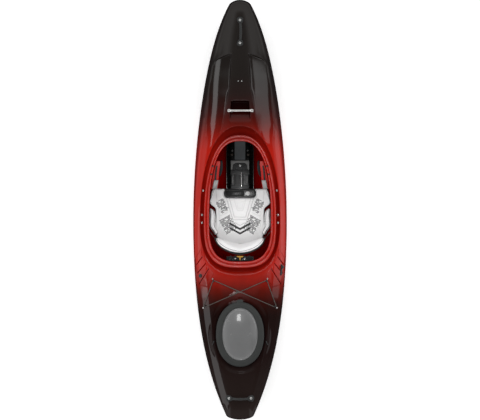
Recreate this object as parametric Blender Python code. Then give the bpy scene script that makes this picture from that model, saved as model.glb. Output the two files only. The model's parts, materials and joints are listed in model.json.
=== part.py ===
import math

import bmesh
import bpy
import numpy as np
from mathutils import Vector
from mathutils.bvhtree import BVHTree

# driving sizes, in metres
HALF_LENGTH = 1.378
HALF_BEAM = 0.3072
WIDEST_Y = -0.0807
WALL = 0.006
CLEAR = 0.0003

# plan outline: half width = HALF_BEAM * (1 - a s^2 - c s^e), rounded at the tips over a length r
BOW_PLAN = (0.6397, 0.1847, 7.892, 0.0312)
STERN_PLAN = (0.4674, 0.2810, 3.873, 0.0267)

# heights: seam, keel, deck line, coaming top
SEAM_MID = 0.165
SEAM_BOW_RISE = 0.075
SEAM_STERN_RISE = 0.035
ROCKER_BOW = (0.45, 0.12)
ROCKER_STERN = (0.70, 0.055)
KEEL_ROUND = 0.13
DECK_ROUND = 0.08
DECK_LINE = [(-1.378, 0.232), (-1.25, 0.240), (-1.10, 0.246), (-0.85, 0.250), (-0.60, 0.252),
             (-0.40, 0.255), (-0.20, 0.260), (0.0, 0.272), (0.20, 0.292), (0.45, 0.322),
             (0.55, 0.334), (0.70, 0.343), (0.85, 0.342), (1.00, 0.334), (1.25, 0.315),
             (1.378, 0.300)]
COAMING_TOP = [(-0.40, 0.284), (-0.30, 0.278), (-0.15, 0.274), (0.0, 0.280), (0.20, 0.306),
               (0.40, 0.345), (0.50, 0.359)]

# cockpit opening and rim: half width, front and rear half lengths, exponents
COCKPIT_Y = -0.080
OPENING = (0.202, 0.529, 0.260)
RIM = (0.238, 0.572, 0.303)
OPENING_POWERS = (2.6, 3.0)
RIM_POWERS = (2.35, 3.0)
WALL_SHARE = 0.25

# hatch: centre, half width and half length of the rim upstand, seat height
HATCH_Y = -0.818
HATCH = (0.134, 0.189)
HATCH_POWER = 2.1
HATCH_Z = 0.238
HATCH_HOLE = -0.0035

# foredeck: ridge and panel edges along the length
RIDGE = [(0.40, 0.150), (0.62, 0.100), (0.76, 0.080), (0.81, 0.058), (1.02, 0.052)]
PANEL_EDGE = [(0.40, 0.225), (0.70, 0.215), (0.894, 0.193), (0.975, 0.165), (1.02, 0.080)]
PANEL_DEPTH = 0.010
GROOVE_DEPTH = 0.012
HANDLE_INSET = (0.133, 0.283, 0.140)   # bow bolts and stern bolts, in from the tips
PAD_EYE_SIDE = 0.042   # pad eyes: out from the hatch rim and aft of its middle
PAD_EYE_AFT = 0.056
BAR_Y = 0.651
BAR_HALF = 0.085
POCKET_DEPTH = 0.030

# seat
SEAT_FLOOR = 0.034
SEAT_RISE = 0.018
PAD_THICK = 0.017
SEAT_FRONT = 0.137
SEAT_REAR = -0.212
HIP_X = 0.2010
BAND_MIDDLE = -0.2920      # rear face of the backband's top on the middle line
BAND_SWEEP = 0.1070        # how far its ends come forward
BAND_THICK = 0.031
BAND_LEAN = 0.052          # foot ahead of the top

# skeg
SKEG_PIVOT = (0.0, -0.750, 0.030)
SKEG_THICK = 0.006
SKEG_SLOT = 0.0050
SKEG_FRONT = -0.715
SKEG_REAR = -0.985

# thigh brace plane
BRACE_START = (0.140, 0.2585)
BRACE_END = (0.335, 0.2950)

for old in list(bpy.data.objects):
    bpy.data.objects.remove(old, do_unlink=True)


def material(name, colour, roughness, metallic=0.0):
    mat = bpy.data.materials.new(name)
    mat.use_nodes = True
    shader = mat.node_tree.nodes["Principled BSDF"]
    shader.inputs["Base Color"].default_value = (*colour, 1.0)
    shader.inputs["Roughness"].default_value = roughness
    shader.inputs["Metallic"].default_value = metallic
    mat.diffuse_color = (*colour, 1.0)
    return mat


HULL_RED = material("hull_red", (0.43, 0.02, 0.015), 0.35)
DECK_RED = material("deck_red", (0.47, 0.03, 0.02), 0.30)
BLACK = material("black_plastic", (0.03, 0.03, 0.03), 0.5)
GREY = material("grey_plastic", (0.16, 0.16, 0.16), 0.4)
DARK_RUBBER = material("dark_rubber", (0.05, 0.052, 0.05), 0.6)
FOAM = material("grey_foam", (0.10, 0.11, 0.12), 0.9)
WHITE_PAD = material("white_pad", (0.80, 0.80, 0.80), 0.7)
STEEL = material("steel", (0.75, 0.75, 0.74), 0.25, 1.0)
ALUMINIUM = material("aluminium", (0.80, 0.80, 0.80), 0.3, 1.0)
WEBBING = material("black_webbing", (0.03, 0.03, 0.032), 0.8)
CORD = material("cord", (0.10, 0.09, 0.08), 0.8)
BRACE_RED = material("brace_red", (0.45, 0.03, 0.02), 0.4)
BRACE_PAD = material("black_pad", (0.03, 0.03, 0.03), 0.9)
YELLOW = material("yellow_webbing", (0.75, 0.48, 0.16), 0.8)


def make(name, verts, faces, mat, origin=(0.0, 0.0, 0.0)):
    mesh = bpy.data.meshes.new(name)
    shift = np.asarray(verts, float) - np.asarray(origin, float)
    mesh.from_pydata([tuple(v) for v in shift.tolist()], [], faces)
    bm = bmesh.new()
    bm.from_mesh(mesh)
    bmesh.ops.recalc_face_normals(bm, faces=bm.faces)
    bm.to_mesh(mesh)
    bm.free()
    mesh.materials.append(mat)
    obj = bpy.data.objects.new(name, mesh)
    obj.location = origin
    bpy.context.scene.collection.objects.link(obj)
    return obj


# closed rings of equal count joined in order, flat caps on the two ends
def loft(name, rings, mat, origin=(0.0, 0.0, 0.0), caps=True, ring_shut=False):
    rings = [np.asarray(r, float) for r in rings]
    count = len(rings[0])
    verts = np.concatenate(rings)
    faces = []
    last = len(rings) if ring_shut else len(rings) - 1
    for k in range(last):
        a = k * count
        b = ((k + 1) % len(rings)) * count
        for i in range(count):
            j = (i + 1) % count
            faces.append((a + i, a + j, b + j, b + i))
    if caps and not ring_shut:
        faces.append(tuple(range(count)))
        faces.append(tuple(range(len(verts) - count, len(verts))))
    return make(name, verts, faces, mat, origin)


def place(points, origin, ex, ey, ez):
    p = np.asarray(points, float)
    axes = np.array([ex, ey, ez], float)
    return np.asarray(origin, float) + p @ axes


WORLD = ((0.0, 0.0, 0.0), (1.0, 0.0, 0.0), (0.0, 1.0, 0.0), (0.0, 0.0, 1.0))


def round_rect(x0, x1, y0, y1, radius, steps=3):
    points = []
    for cx, cy, start in ((x1 - radius, y1 - radius, 0), (x0 + radius, y1 - radius, 90),
                          (x0 + radius, y0 + radius, 180), (x1 - radius, y0 + radius, 270)):
        for k in range(steps + 1):
            a = math.radians(start + 90 * k / steps)
            points.append((cx + radius * math.cos(a), cy + radius * math.sin(a)))
    return np.array(points)


# outline moved up between two heights, its upper and lower edges drawn in by a chamfer
def slab(name, outline, z0, z1, mat, chamfer=0.0, frame=WORLD, origin=(0.0, 0.0, 0.0)):
    outline = np.asarray(outline, float)
    middle = outline.mean(axis=0)
    reach = np.abs(outline - middle).max(axis=0)
    inner = middle + (outline - middle) * (1 - chamfer / reach)
    levels = [(outline, z0), (outline, z1)]
    if chamfer:
        levels = [(inner, z0), (outline, z0 + chamfer), (outline, z1 - chamfer), (inner, z1)]
    rings = [place(np.column_stack([o, np.full(len(o), z)]), *frame) for o, z in levels]
    return loft(name, rings, mat, origin)


def smooth(t):
    t = np.clip(t, 0.0, 1.0)
    return t * t * (3 - 2 * t)


# smooth curve through a table of (y, value) pairs, by cubic pieces
def curve(table, y):
    ys = np.array([p[0] for p in table])
    vs = np.array([p[1] for p in table])
    slope = np.gradient(vs, ys)
    y = np.clip(np.asarray(y, float), ys[0], ys[-1])
    k = np.clip(np.searchsorted(ys, y) - 1, 0, len(ys) - 2)
    h = ys[k + 1] - ys[k]
    t = (y - ys[k]) / h
    a = 2 * t ** 3 - 3 * t ** 2 + 1
    b = t ** 3 - 2 * t ** 2 + t
    c = t ** 3 - t ** 2
    return a * vs[k] + b * h * slope[k] + (1 - a) * vs[k + 1] + c * h * slope[k + 1]


def tip_share(y, length):
    t = np.clip((HALF_LENGTH - np.abs(y)) / length, 0.0, 1.0)
    return np.sqrt(1 - (1 - t) ** 2)


def reach_of(y):
    end = np.where(y > WIDEST_Y, HALF_LENGTH, -HALF_LENGTH)
    return np.clip((y - WIDEST_Y) / (end - WIDEST_Y), 0.0, 1.0)


def half_width(y):
    y = np.asarray(y, float)
    s = reach_of(y)
    bow = y > WIDEST_Y
    plan = [np.where(bow, f, b) for f, b in zip(BOW_PLAN, STERN_PLAN)]
    tip = np.where(bow, tip_share(y, BOW_PLAN[3]), tip_share(y, STERN_PLAN[3]))
    return HALF_BEAM * (1 - plan[0] * s ** 2 - plan[1] * s ** plan[2]) * tip


def seam_height(y):
    s = reach_of(y)
    return SEAM_MID + np.where(y > WIDEST_Y, SEAM_BOW_RISE, SEAM_STERN_RISE) * s ** 2.2


def keel_height(y):
    bow = ROCKER_BOW[1] * (np.clip(y - ROCKER_BOW[0], 0, None) / (HALF_LENGTH - ROCKER_BOW[0])) ** 2.2
    stern = np.clip(-y - ROCKER_STERN[0], 0, None) / (HALF_LENGTH - ROCKER_STERN[0])
    line = bow + ROCKER_STERN[1] * stern ** 2
    return line + (seam_height(y) - line) * (1 - tip_share(y, KEEL_ROUND))


def oval_rho(x, y, centre, half, ahead, behind, powers):
    length = np.where(y > centre, ahead, behind)
    power = np.where(y > centre, powers[0], powers[1])
    return ((np.abs(x) / half) ** power + (np.abs(y - centre) / length) ** power) ** (1 / power)


# rough distance outside an oval
def oval_distance(x, y, centre, half, ahead, behind, powers):
    rho = oval_rho(x, y, centre, half, ahead, behind, powers)
    radius = np.sqrt(x ** 2 + (y - centre) ** 2) / np.maximum(rho, 1e-6)
    return (rho - 1) * radius


def deck_height(x, y):
    ax = np.abs(x)
    seam = seam_height(y)
    line = seam + (curve(DECK_LINE, y) - seam) * tip_share(y, DECK_ROUND)
    crown = 2.6 + 0.9 * smooth((-0.3 - y) / 0.3)
    share = np.clip(ax / np.maximum(half_width(y), 1e-6), 0.0, 1.0)
    z = seam + (line - seam) * np.sqrt(np.clip(1 - share ** crown, 0.0, 1.0))
    ridge = smooth((ax - curve(RIDGE, y)) / 0.022 + 0.5)
    panel = smooth((curve(PANEL_EDGE, y) - ax) / 0.030 + 0.5)
    ends = smooth((1.02 - 0.40 * (ax - 0.052) - y) / 0.030 + 0.5) * smooth((y - 0.42) / 0.12)
    z = z - PANEL_DEPTH * ridge * panel * ends
    pocket = smooth((0.070 - ax) / 0.024 + 0.5)
    z = z - POCKET_DEPTH * pocket * smooth((0.725 - y) / 0.028) * smooth((y - 0.548) / 0.105)
    outside = oval_distance(x, y, COCKPIT_Y, *OPENING, OPENING_POWERS)
    z = z - GROOVE_DEPTH * (1 - smooth((outside - 0.042) / 0.034))
    around = oval_distance(x, y, HATCH_Y, HATCH[0], HATCH[1], HATCH[1], (HATCH_POWER, HATCH_POWER))
    flat = 1 - smooth((around - 0.062) / 0.030)
    return z * (1 - flat) + HATCH_Z * flat


# points of one side of an oval from its front end to its rear end
def oval_points(angles, centre, half, ahead, behind, powers):
    angles = np.asarray(angles, float)
    front = angles > 0
    power = np.where(front, powers[0], powers[1])
    length = np.where(front, ahead, behind)
    cos = np.abs(np.cos(angles))
    sin = np.abs(np.sin(angles))
    x = half * cos ** (2 / power)
    y = centre + np.sign(angles) * length * sin ** (2 / power)
    return np.column_stack([np.where(cos < 1e-9, 0.0, x), y])


# angles that part one side of an oval into equal lengths
def even_angles(count, *oval):
    fine = np.linspace(math.pi / 2, -math.pi / 2, 2001)
    points = oval_points(fine, *oval)
    run = np.concatenate([[0], np.cumsum(np.hypot(*np.diff(points, axis=0).T))])
    angles = np.interp(np.linspace(0, run[-1], count + 1), run, fine)
    angles[0] = math.pi / 2
    angles[-1] = -math.pi / 2
    return angles


def rim_oval(share):
    sizes = [o + share * (r - o) for o, r in zip(OPENING, RIM)]
    powers = [o + share * (r - o) for o, r in zip(OPENING_POWERS, RIM_POWERS)]
    return (COCKPIT_Y, *sizes, powers)


HOLE = (HATCH_Y, HATCH[0] + HATCH_HOLE, HATCH[1] + HATCH_HOLE, HATCH[1] + HATCH_HOLE,
        (HATCH_POWER, HATCH_POWER))
COCKPIT_ANGLES = even_angles(20, *rim_oval(WALL_SHARE))
HATCH_ANGLES = even_angles(11, *HOLE)


# the rows near both tips are spaced for a run of this length, from this station on
END_START = 1.020
END_RUN = 0.358


# rows run from the centre line or an opening's edge out to the seam
def deck_rows():
    spread = (HALF_LENGTH - END_START) / END_RUN
    tips = (0, 0.004, 0.014, 0.032, 0.065, 0.115, 0.18, 0.26, 0.345)
    front = [HALF_LENGTH - t * spread for t in tips]
    front += [0.975, 0.93, 0.87, 0.81, 0.765, 0.735, 0.705, 0.675, 0.645, 0.61, 0.575, 0.53]
    edge = oval_points(COCKPIT_ANGLES, *rim_oval(WALL_SHARE))
    hole = oval_points(HATCH_ANGLES, *HOLE)
    tips = (0.335, 0.288, 0.238, 0.188, 0.138, 0.088, 0.053, 0.028, 0.011, 0.003, 0)
    back = [t * spread - HALF_LENGTH for t in tips]
    inner = [(0.0, y) for y in front]
    outer = list(front)
    inner += [tuple(p) for p in edge]
    outer += list(np.linspace(0.478, -0.372, len(edge)))
    inner += [(0.0, -0.405), (0.0, -0.47), (0.0, -0.54), (0.0, -0.592)]
    outer += [-0.42, -0.475, -0.53, -0.575]
    inner += [tuple(p) for p in hole]
    outer += list(np.linspace(-0.612, -1.020, len(hole)))
    inner += [(0.0, y) for y in back]
    outer += back
    first_edge = len(front)
    first_hole = len(front) + len(edge) + 4
    return np.array(inner), np.array(outer), (first_edge, len(edge)), (first_hole, len(hole))


INNER, OUTER_Y, EDGE_ROWS, HOLE_ROWS = deck_rows()
ROWS = len(INNER)
DECK_COLUMNS = np.array([0.0, 0.11, 0.27, 0.45, 0.63, 0.79, 0.91, 0.977, 1.0])


# sheet over both sides: points per row, shared on the centre line, one point on each tip
def sheet_grid(row_points):
    verts = []
    index = {}
    for i in range(ROWS):
        line = row_points(i)
        for side in (1, -1):
            for j, (x, y, z) in enumerate(line):
                if i in (0, ROWS - 1):
                    key = (i, "tip")
                elif j == 0 and abs(x) < 1e-9:
                    key = (i, "mid")
                else:
                    key = (i, j, side)
                if key not in index:
                    index[key] = len(verts)
                    verts.append((side * x, y, z))
                index[(i, j, side, "at")] = index[key]
    columns = len(row_points(1)) - 1
    faces = []
    for i in range(ROWS - 1):
        for side in (1, -1):
            for j in range(columns):
                ring = [index[(i, j, side, "at")], index[(i + 1, j, side, "at")],
                        index[(i + 1, j + 1, side, "at")], index[(i, j + 1, side, "at")]]
                face = []
                for v in ring if side == 1 else ring[::-1]:
                    if v not in face:
                        face.append(v)
                if len(face) > 2:
                    faces.append(tuple(face))
    seam = [index[(i, columns, 1, "at")] for i in range(ROWS)]
    seam += [index[(i, columns, -1, "at")] for i in range(ROWS - 2, 0, -1)]
    return np.array(verts), faces, index, seam


# the sheet moved in along its normals, level at the seam and on the centre line
def inward(verts, faces, seam, thickness, sign):
    normals = np.zeros_like(verts)
    for face in faces:
        p = verts[list(face)]
        n = np.cross(p[2] - p[0], (p[3] if len(p) > 3 else p[0]) - p[1])
        if len(p) == 3:
            n = np.cross(p[1] - p[0], p[2] - p[0])
        normals[list(face)] += n
    on_middle = np.abs(verts[:, 0]) < 1e-9
    normals[on_middle, 0] = 0
    normals[seam, 2] = 0
    normals[seam[0]] = (0, 1, 0)
    normals[seam[ROWS - 1]] = (0, -1, 0)
    outward = normals / np.linalg.norm(normals, axis=1)[:, None] * sign
    outward[seam[0]] = (0, 1, 0)
    outward[seam[ROWS - 1]] = (0, -1, 0)
    return verts - outward * thickness


def loop_of(index, rows):
    first, count = rows
    right = [index[(first + k, 0, 1, "at")] for k in range(count)]
    left = [index[(first + k, 0, -1, "at")] for k in range(count - 2, 0, -1)]
    return right + left


def bridge(faces, a, b):
    for k in range(len(a)):
        m = (k + 1) % len(a)
        faces.append((a[k], a[m], b[m], b[k]))


def build_deck():
    def row(i):
        u = DECK_COLUMNS
        x = INNER[i, 0] + (half_width(OUTER_Y[i]) - INNER[i, 0]) * u
        y = INNER[i, 1] + (OUTER_Y[i] - INNER[i, 1]) * u
        z = deck_height(x, y)
        z[-1] = seam_height(OUTER_Y[i])
        return list(zip(x, y, z + CLEAR / 2))

    verts, faces, index, seam = sheet_grid(row)
    inner = inward(verts, faces, seam, WALL, 1)
    count = len(verts)
    allv = list(map(tuple, verts)) + list(map(tuple, inner))
    allf = list(faces) + [tuple(v + count for v in f[::-1]) for f in faces]
    bridge(allf, seam, [v + count for v in seam])
    hole = loop_of(index, HOLE_ROWS)
    bridge(allf, hole, [v + count for v in hole])
    edge = loop_of(index, EDGE_ROWS)
    stations = [(0.25, -0.014), (0.82, -0.012), (0.93, -0.019), (1.0, -0.017), (1.0, -0.007),
                (0.90, -0.001), (0.55, 0.0), (0.18, -0.002), (0.0, -0.010), (0.0, None)]
    before = edge
    for share, drop in stations:
        half = oval_points(COCKPIT_ANGLES, *rim_oval(share))
        ring = [(x, y) for x, y in half] + [(-x, y) for x, y in half[-2:0:-1]]
        start = len(allv)
        for k, (x, y) in enumerate(ring):
            if drop is None:
                z = allv[edge[k]][2] - 0.011
            else:
                z = float(curve(COAMING_TOP, y)) + drop
            allv.append((x, y, z))
        now = list(range(start, start + len(ring)))
        bridge(allf, before, now)
        before = now
    bridge(allf, before, [v + count for v in edge])
    return make("deck", np.array(allv), allf, DECK_RED)


def hull_section(y, columns=(2, 6)):
    half = float(half_width(y))
    seam = float(seam_height(y))
    keel = float(keel_height(y))
    flat = half * 0.55 * (1 - float(reach_of(np.asarray(y))) ** 4)
    points = [(flat * k / columns[0], keel) for k in range(columns[0])]
    for k in range(columns[1] + 1):
        a = math.pi / 2 * k / columns[1]
        x = flat + (half - flat) * math.sin(a) ** (2 / 2.3)
        z = seam - (seam - keel) * max(math.cos(a), 0.0) ** (2 / 2.3)
        points.append((x, z))
    points[-1] = (half, seam)
    return points


def build_hull():
    def row(i):
        y = OUTER_Y[i]
        return [(x, y, z - CLEAR / 2 * (z > 0.05)) for x, z in hull_section(y)]

    verts, faces, index, seam = sheet_grid(row)
    inner = inward(verts, faces, seam, WALL, -1)
    count = len(verts)
    allv = np.concatenate([verts, inner])
    allf = list(faces) + [tuple(v + count for v in f[::-1]) for f in faces]
    bridge(allf, seam, [v + count for v in seam])
    return make("hull", allv, allf, HULL_RED)


def cut(obj, cutter, operation="DIFFERENCE"):
    modifier = obj.modifiers.new("cut", "BOOLEAN")
    modifier.operation = operation
    modifier.solver = "EXACT"
    modifier.object = cutter
    graph = bpy.context.evaluated_depsgraph_get()
    mesh = bpy.data.meshes.new_from_object(obj.evaluated_get(graph))
    obj.modifiers.clear()
    obj.data = mesh
    bpy.data.objects.remove(cutter, do_unlink=True)
    return obj


def tree_of(obj):
    mesh = obj.data
    verts = [obj.matrix_world @ v.co for v in mesh.vertices]
    return BVHTree.FromPolygons(verts, [tuple(p.vertices) for p in mesh.polygons])


DECK = build_deck()
HULL = build_hull()
DECK_TREE = tree_of(DECK)
HULL_TREE = tree_of(HULL)


def deck_top(x, y):
    hit = DECK_TREE.ray_cast(Vector((x, y, 1.0)), Vector((0, 0, -1)))
    return hit[0].z


def deck_under(x, y, start=0.10):
    hit = DECK_TREE.ray_cast(Vector((x, y, start)), Vector((0, 0, 1)))
    return hit[0].z if hit[0] is not None else 1.0


def floor_at(x, y, start=0.10):
    hit = HULL_TREE.ray_cast(Vector((x, y, start)), Vector((0, 0, -1)))
    return hit[0].z


# highest point of the deck under a round foot
def deck_seat(x, y, radius):
    spots = [(x, y)]
    spots += [(x + radius * math.cos(a), y + radius * math.sin(a)) for a in np.linspace(0, 5.76, 12)]
    spots += [(x + radius / 2 * math.cos(a), y + radius / 2 * math.sin(a))
              for a in np.linspace(0, 5.76, 12)]
    return max(deck_top(*s) for s in spots) + CLEAR


# centre height of a ball that rests on the deck
def ball_seat(x, y, radius):
    best = deck_top(x, y) + radius
    for share in (0.45, 0.85):
        for a in np.linspace(0, 5.5, 8):
            dx = radius * share * math.cos(a)
            dy = radius * share * math.sin(a)
            best = max(best, deck_top(x + dx, y + dy) + radius * math.sqrt(1 - share ** 2))
    return best + CLEAR


def ring_at(centre, across, up, half_w, half_h, sides=10, power=0.6):
    centre = np.asarray(centre, float)
    ring = []
    for k in range(sides):
        a = 2 * math.pi * (k + 0.5) / sides
        c = math.copysign(abs(math.cos(a)) ** power, math.cos(a))
        s = math.copysign(abs(math.sin(a)) ** power, math.sin(a))
        ring.append(centre + np.asarray(across, float) * half_w * c + np.asarray(up, float) * half_h * s)
    return ring


# grab handle: two flat feet and a raised grip, along one horizontal direction
def handle(name, ends, side_bow, mat):
    (x0, y0), (x1, y1) = ends
    span = math.hypot(x1 - x0, y1 - y0)
    way = np.array([(x1 - x0) / span, (y1 - y0) / span, 0.0])
    across = np.array([-way[1], way[0], 0.0])
    up = np.array([0.0, 0.0, 1.0])
    feet = [deck_seat(x, y, 0.020) for x, y in ends]
    stations = [(-0.021, 0.006, 0.0015, 0.0), (-0.017, 0.014, 0.003, 0.0), (0.0, 0.020, 0.003, 0.0),
                (0.014, 0.015, 0.003, 0.0), (0.022, 0.009, 0.0035, 0.007), (0.032, 0.008, 0.005, 0.020),
                (0.048, 0.008, 0.006, 0.027)]
    rings = []
    run = [(s, w, h, z) for s, w, h, z in stations] + [(span / 2, 0.0085, 0.0065, 0.029)]
    run += [(span - s, w, h, z) for s, w, h, z in stations[::-1]]
    for s, w, h, lift in run:
        share = min(max(s / span, 0.0), 1.0)
        base = feet[0] + (feet[1] - feet[0]) * share
        bow = side_bow * math.sin(math.pi * share)
        centre = np.array([x0, y0, base + 0.003 + lift]) + way * s + across * bow
        rings.append(ring_at(centre, across, up, w, h))
    obj = loft(name, rings, mat)
    tilt = 0.008 * abs(feet[1] - feet[0]) / span
    return obj, [(x, y, z + 0.006 + tilt) for (x, y), z in zip(ends, feet)]


def bolt(name, spot, radius=0.008, height=0.0045):
    x, y, z = spot
    rings = []
    for r, h in ((1.0, 0.0), (1.0, 0.35), (0.8, 0.75), (0.45, 1.0)):
        rings.append([(x + radius * r * math.cos(a), y + radius * r * math.sin(a),
                       z + CLEAR + height * h) for a in np.linspace(0, 2 * math.pi, 13)[:-1]])
    return loft(name, rings, STEEL)


_, spots = handle("bow_handle", ((0.0, HALF_LENGTH - HANDLE_INSET[0]), (0.0, HALF_LENGTH - HANDLE_INSET[1])),
                  0.005, BLACK)
bolt("bow_bolt_front", spots[0])
bolt("bow_bolt_rear", spots[1])
stern_y = HANDLE_INSET[2] - HALF_LENGTH
_, spots = handle("stern_handle", ((-0.072, stern_y), (0.072, stern_y)), -0.006, BLACK)
bolt("stern_bolt_left", spots[0])
bolt("stern_bolt_right", spots[1])


# security bar over the pocket, flattened where its ends are bolted down
def build_bar():
    rings = []
    foot = deck_seat(BAR_HALF - 0.004, BAR_Y, 0.009)
    for s in (-1.0, -0.96, -0.86, -0.74, -0.4, 0.0, 0.4, 0.74, 0.86, 0.96, 1.0):
        a = abs(s)
        thick = 0.0028 + 0.0040 * (1 - smooth((a - 0.70) / 0.14))
        wide = (0.0095 - 0.0025 * (1 - smooth((a - 0.70) / 0.14))) * (0.6 if a > 0.97 else 1.0)
        lift = 0.0100 * (1 - smooth((a - 0.60) / 0.24)) + 0.002 * (1 - a)
        centre = (s * (BAR_HALF + 0.004), BAR_Y, foot + 0.0028 + lift)
        rings.append(ring_at(centre, (0, 1, 0), (0, 0, 1), wide, thick, 10, 0.8))
    return loft("broach_bar", rings, ALUMINIUM)


build_bar()


# closed section swept round the hatch oval; each section point is an offset out and a height
def hatch_ring(name, section, mat, count=32, origin=(0.0, 0.0, 0.0)):
    angles = np.linspace(0, 2 * math.pi, count + 1)[:-1]
    rings = []
    for out, height in section:
        a = HATCH[0] + out
        b = HATCH[1] + out
        c = np.cos(angles)
        s = np.sin(angles)
        x = a * np.sign(c) * np.abs(c) ** (2 / HATCH_POWER)
        y = HATCH_Y + b * np.sign(s) * np.abs(s) ** (2 / HATCH_POWER)
        rings.append(np.column_stack([x, y, np.full(count, HATCH_Z + height)]))
    return loft(name, rings, mat, origin, ring_shut=True)


SEAT0 = CLEAR / 2 + CLEAR
hatch_ring("hatch_rim", [(0.016, SEAT0), (0.016, 0.0030), (0.0025, 0.0034), (0.0025, 0.0160),
                         (-0.0025, 0.0160), (-0.0025, 0.0034), (-0.0105, 0.0034),
                         (-0.0105, -0.0140), (-0.0066, -0.0140), (-0.0066, SEAT0)], BLACK)
HATCH_AXIS = (0.0, HATCH_Y, HATCH_Z)
hatch_ring("hatch_cover", [(0.0240, 0.0046), (0.0240, 0.0120), (0.0200, 0.0190), (0.0100, 0.0228),
                           (-0.0060, 0.0228), (-0.0165, 0.0200), (-0.0165, 0.0085),
                           (-0.0030, 0.0085), (-0.0030, 0.0163), (0.0030, 0.0163),
                           (0.0030, 0.0046)], DARK_RUBBER, origin=HATCH_AXIS)


def build_dome():
    count = 32
    angles = np.linspace(0, 2 * math.pi, count + 1)[:-1]
    upper = [(0.30, 0.0300), (0.58, 0.0275), (0.82, 0.0235), (0.96, 0.0195), (1.0, 0.0172)]
    lower = [(1.0, 0.0079), (1.055, 0.0079), (1.055, 0.0052), (0.93, 0.0052), (0.90, 0.0150),
             (0.55, 0.0235), (0.30, 0.0262)]
    rings = []
    for share, height in upper + lower:
        c = np.cos(angles)
        s = np.sin(angles)
        grow = (share - 1) * 0.1172 if share > 1 else 0.0
        a = 0.1172 * min(share, 1.0) + grow
        b = 0.1722 * min(share, 1.0) + grow
        x = a * np.sign(c) * np.abs(c) ** (2 / HATCH_POWER)
        y = HATCH_Y + b * np.sign(s) * np.abs(s) ** (2 / HATCH_POWER)
        rings.append(np.column_stack([x, y, np.full(count, HATCH_Z + height)]))
    return loft("hatch_dome", rings, GREY, HATCH_AXIS)


build_dome()

# deck bungee: one closed cord, crossed once, through four eyes
CORD_R = 0.0025
EYE_IN = HALF_BEAM - 0.1322
EYE_OUT = HALF_BEAM - 0.0742
EYES = [(-EYE_IN, -0.466), (EYE_OUT, -0.635), (EYE_IN, -0.466), (-EYE_OUT, -0.635)]
BEND = 0.0085


def taut(points):
    run = np.concatenate([[0], np.cumsum(np.hypot(*np.diff(points[:, :2], axis=0).T))])
    keep = [0]
    for k in range(1, len(points)):
        while len(keep) > 1:
            i, j = keep[-2], keep[-1]
            left = (points[j, 2] - points[i, 2]) * (run[k] - run[i])
            if left <= (points[k, 2] - points[i, 2]) * (run[j] - run[i]):
                keep.pop()
            else:
                break
        keep.append(k)
    out = points.copy()
    out[:, 2] = np.interp(run, run[keep], points[keep, 2])
    return out


def build_bungee():
    path = []
    corners = []
    count = len(EYES)
    for k in range(count):
        here = np.array(EYES[k])
        before = np.array(EYES[k - 1]) - here
        after = np.array(EYES[(k + 1) % count]) - here
        before /= np.linalg.norm(before)
        after /= np.linalg.norm(after)
        half = math.acos(np.clip(before @ after, -1, 1)) / 2
        inward_way = (before + after) / np.linalg.norm(before + after)
        centre = here + inward_way * BEND
        tangent = BEND / math.tan(half)
        start = centre + BEND * -(inward_way - before * (before @ inward_way)) / math.sin(half)
        end = centre + BEND * -(inward_way - after * (after @ inward_way)) / math.sin(half)
        arc = []
        for t in np.linspace(0, 1, 7):
            d = (start - centre) * (1 - t) + (end - centre) * t
            if np.linalg.norm(d) < 1e-6:
                d = -inward_way
            arc.append(centre + BEND * d / np.linalg.norm(d))
        corners.append((arc, inward_way, here))
    for k in range(count):
        arc = corners[k][0]
        following = corners[(k + 1) % count][0]
        a = arc[-1]
        b = following[0]
        line = [a * (1 - t) + b * t for t in np.linspace(0, 1, 61)]
        flat = np.array([(x, y, ball_seat(x, y, CORD_R) + 0.0007) for x, y in line])
        if k == 0:
            t = np.linspace(0, 1, 61)
            flat[:, 2] += 0.0058 * np.exp(-((t - 0.5) / 0.05) ** 2)
        run = taut(flat)[::4 if k % 2 == 0 else 6]
        bend = [(x, y, ball_seat(x, y, CORD_R) + 0.0006) for x, y in arc[1:-1]]
        path += bend + [tuple(p) for p in run]
    data = bpy.data.curves.new("deck_bungee", "CURVE")
    data.dimensions = "3D"
    spline = data.splines.new("POLY")
    spline.points.add(len(path) - 1)
    for point, p in zip(spline.points, path):
        point.co = (*p, 1.0)
    spline.use_cyclic_u = True
    data.bevel_depth = CORD_R
    data.bevel_resolution = 2
    data.use_fill_caps = True
    data.materials.append(CORD)
    obj = bpy.data.objects.new("deck_bungee", data)
    bpy.context.scene.collection.objects.link(obj)
    return corners


# small arch standing on the deck over a spot, its two feet along one direction
def arch(name, x, y, way, span, rise, mat, half=0.0018):
    way = np.array([way[0], way[1], 0.0]) / math.hypot(*way)
    across = np.array([-way[1], way[0], 0.0])
    feet = []
    for side in (-1, 1):
        fx, fy = x + side * way[0] * span / 2, y + side * way[1] * span / 2
        feet.append(deck_seat(fx, fy, 0.004))
    rings = []
    steps = [(-1, 0.0), (-1, 0.35), (-0.8, 0.78), (-0.4, 1.0), (0.4, 1.0), (0.8, 0.78), (1, 0.35), (1, 0.0)]
    for k, (s, h) in enumerate(steps):
        base = feet[0] if s < 0 else feet[1]
        centre = np.array([x, y, base + h * rise]) + way * s * span / 2
        prev = steps[max(k - 1, 0)]
        nxt = steps[min(k + 1, len(steps) - 1)]
        run = np.array([0, 0, (nxt[1] - prev[1]) * rise]) + way * (nxt[0] - prev[0]) * span / 2
        if k in (0, len(steps) - 1):
            run = np.array([0, 0, 1.0 if k == 0 else -1.0])
        run /= np.linalg.norm(run)
        out = np.cross(across, run)
        rings.append(ring_at(centre, across, out, half * 1.6, half, 8, 0.8))
    return loft(name, rings, mat)


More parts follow.
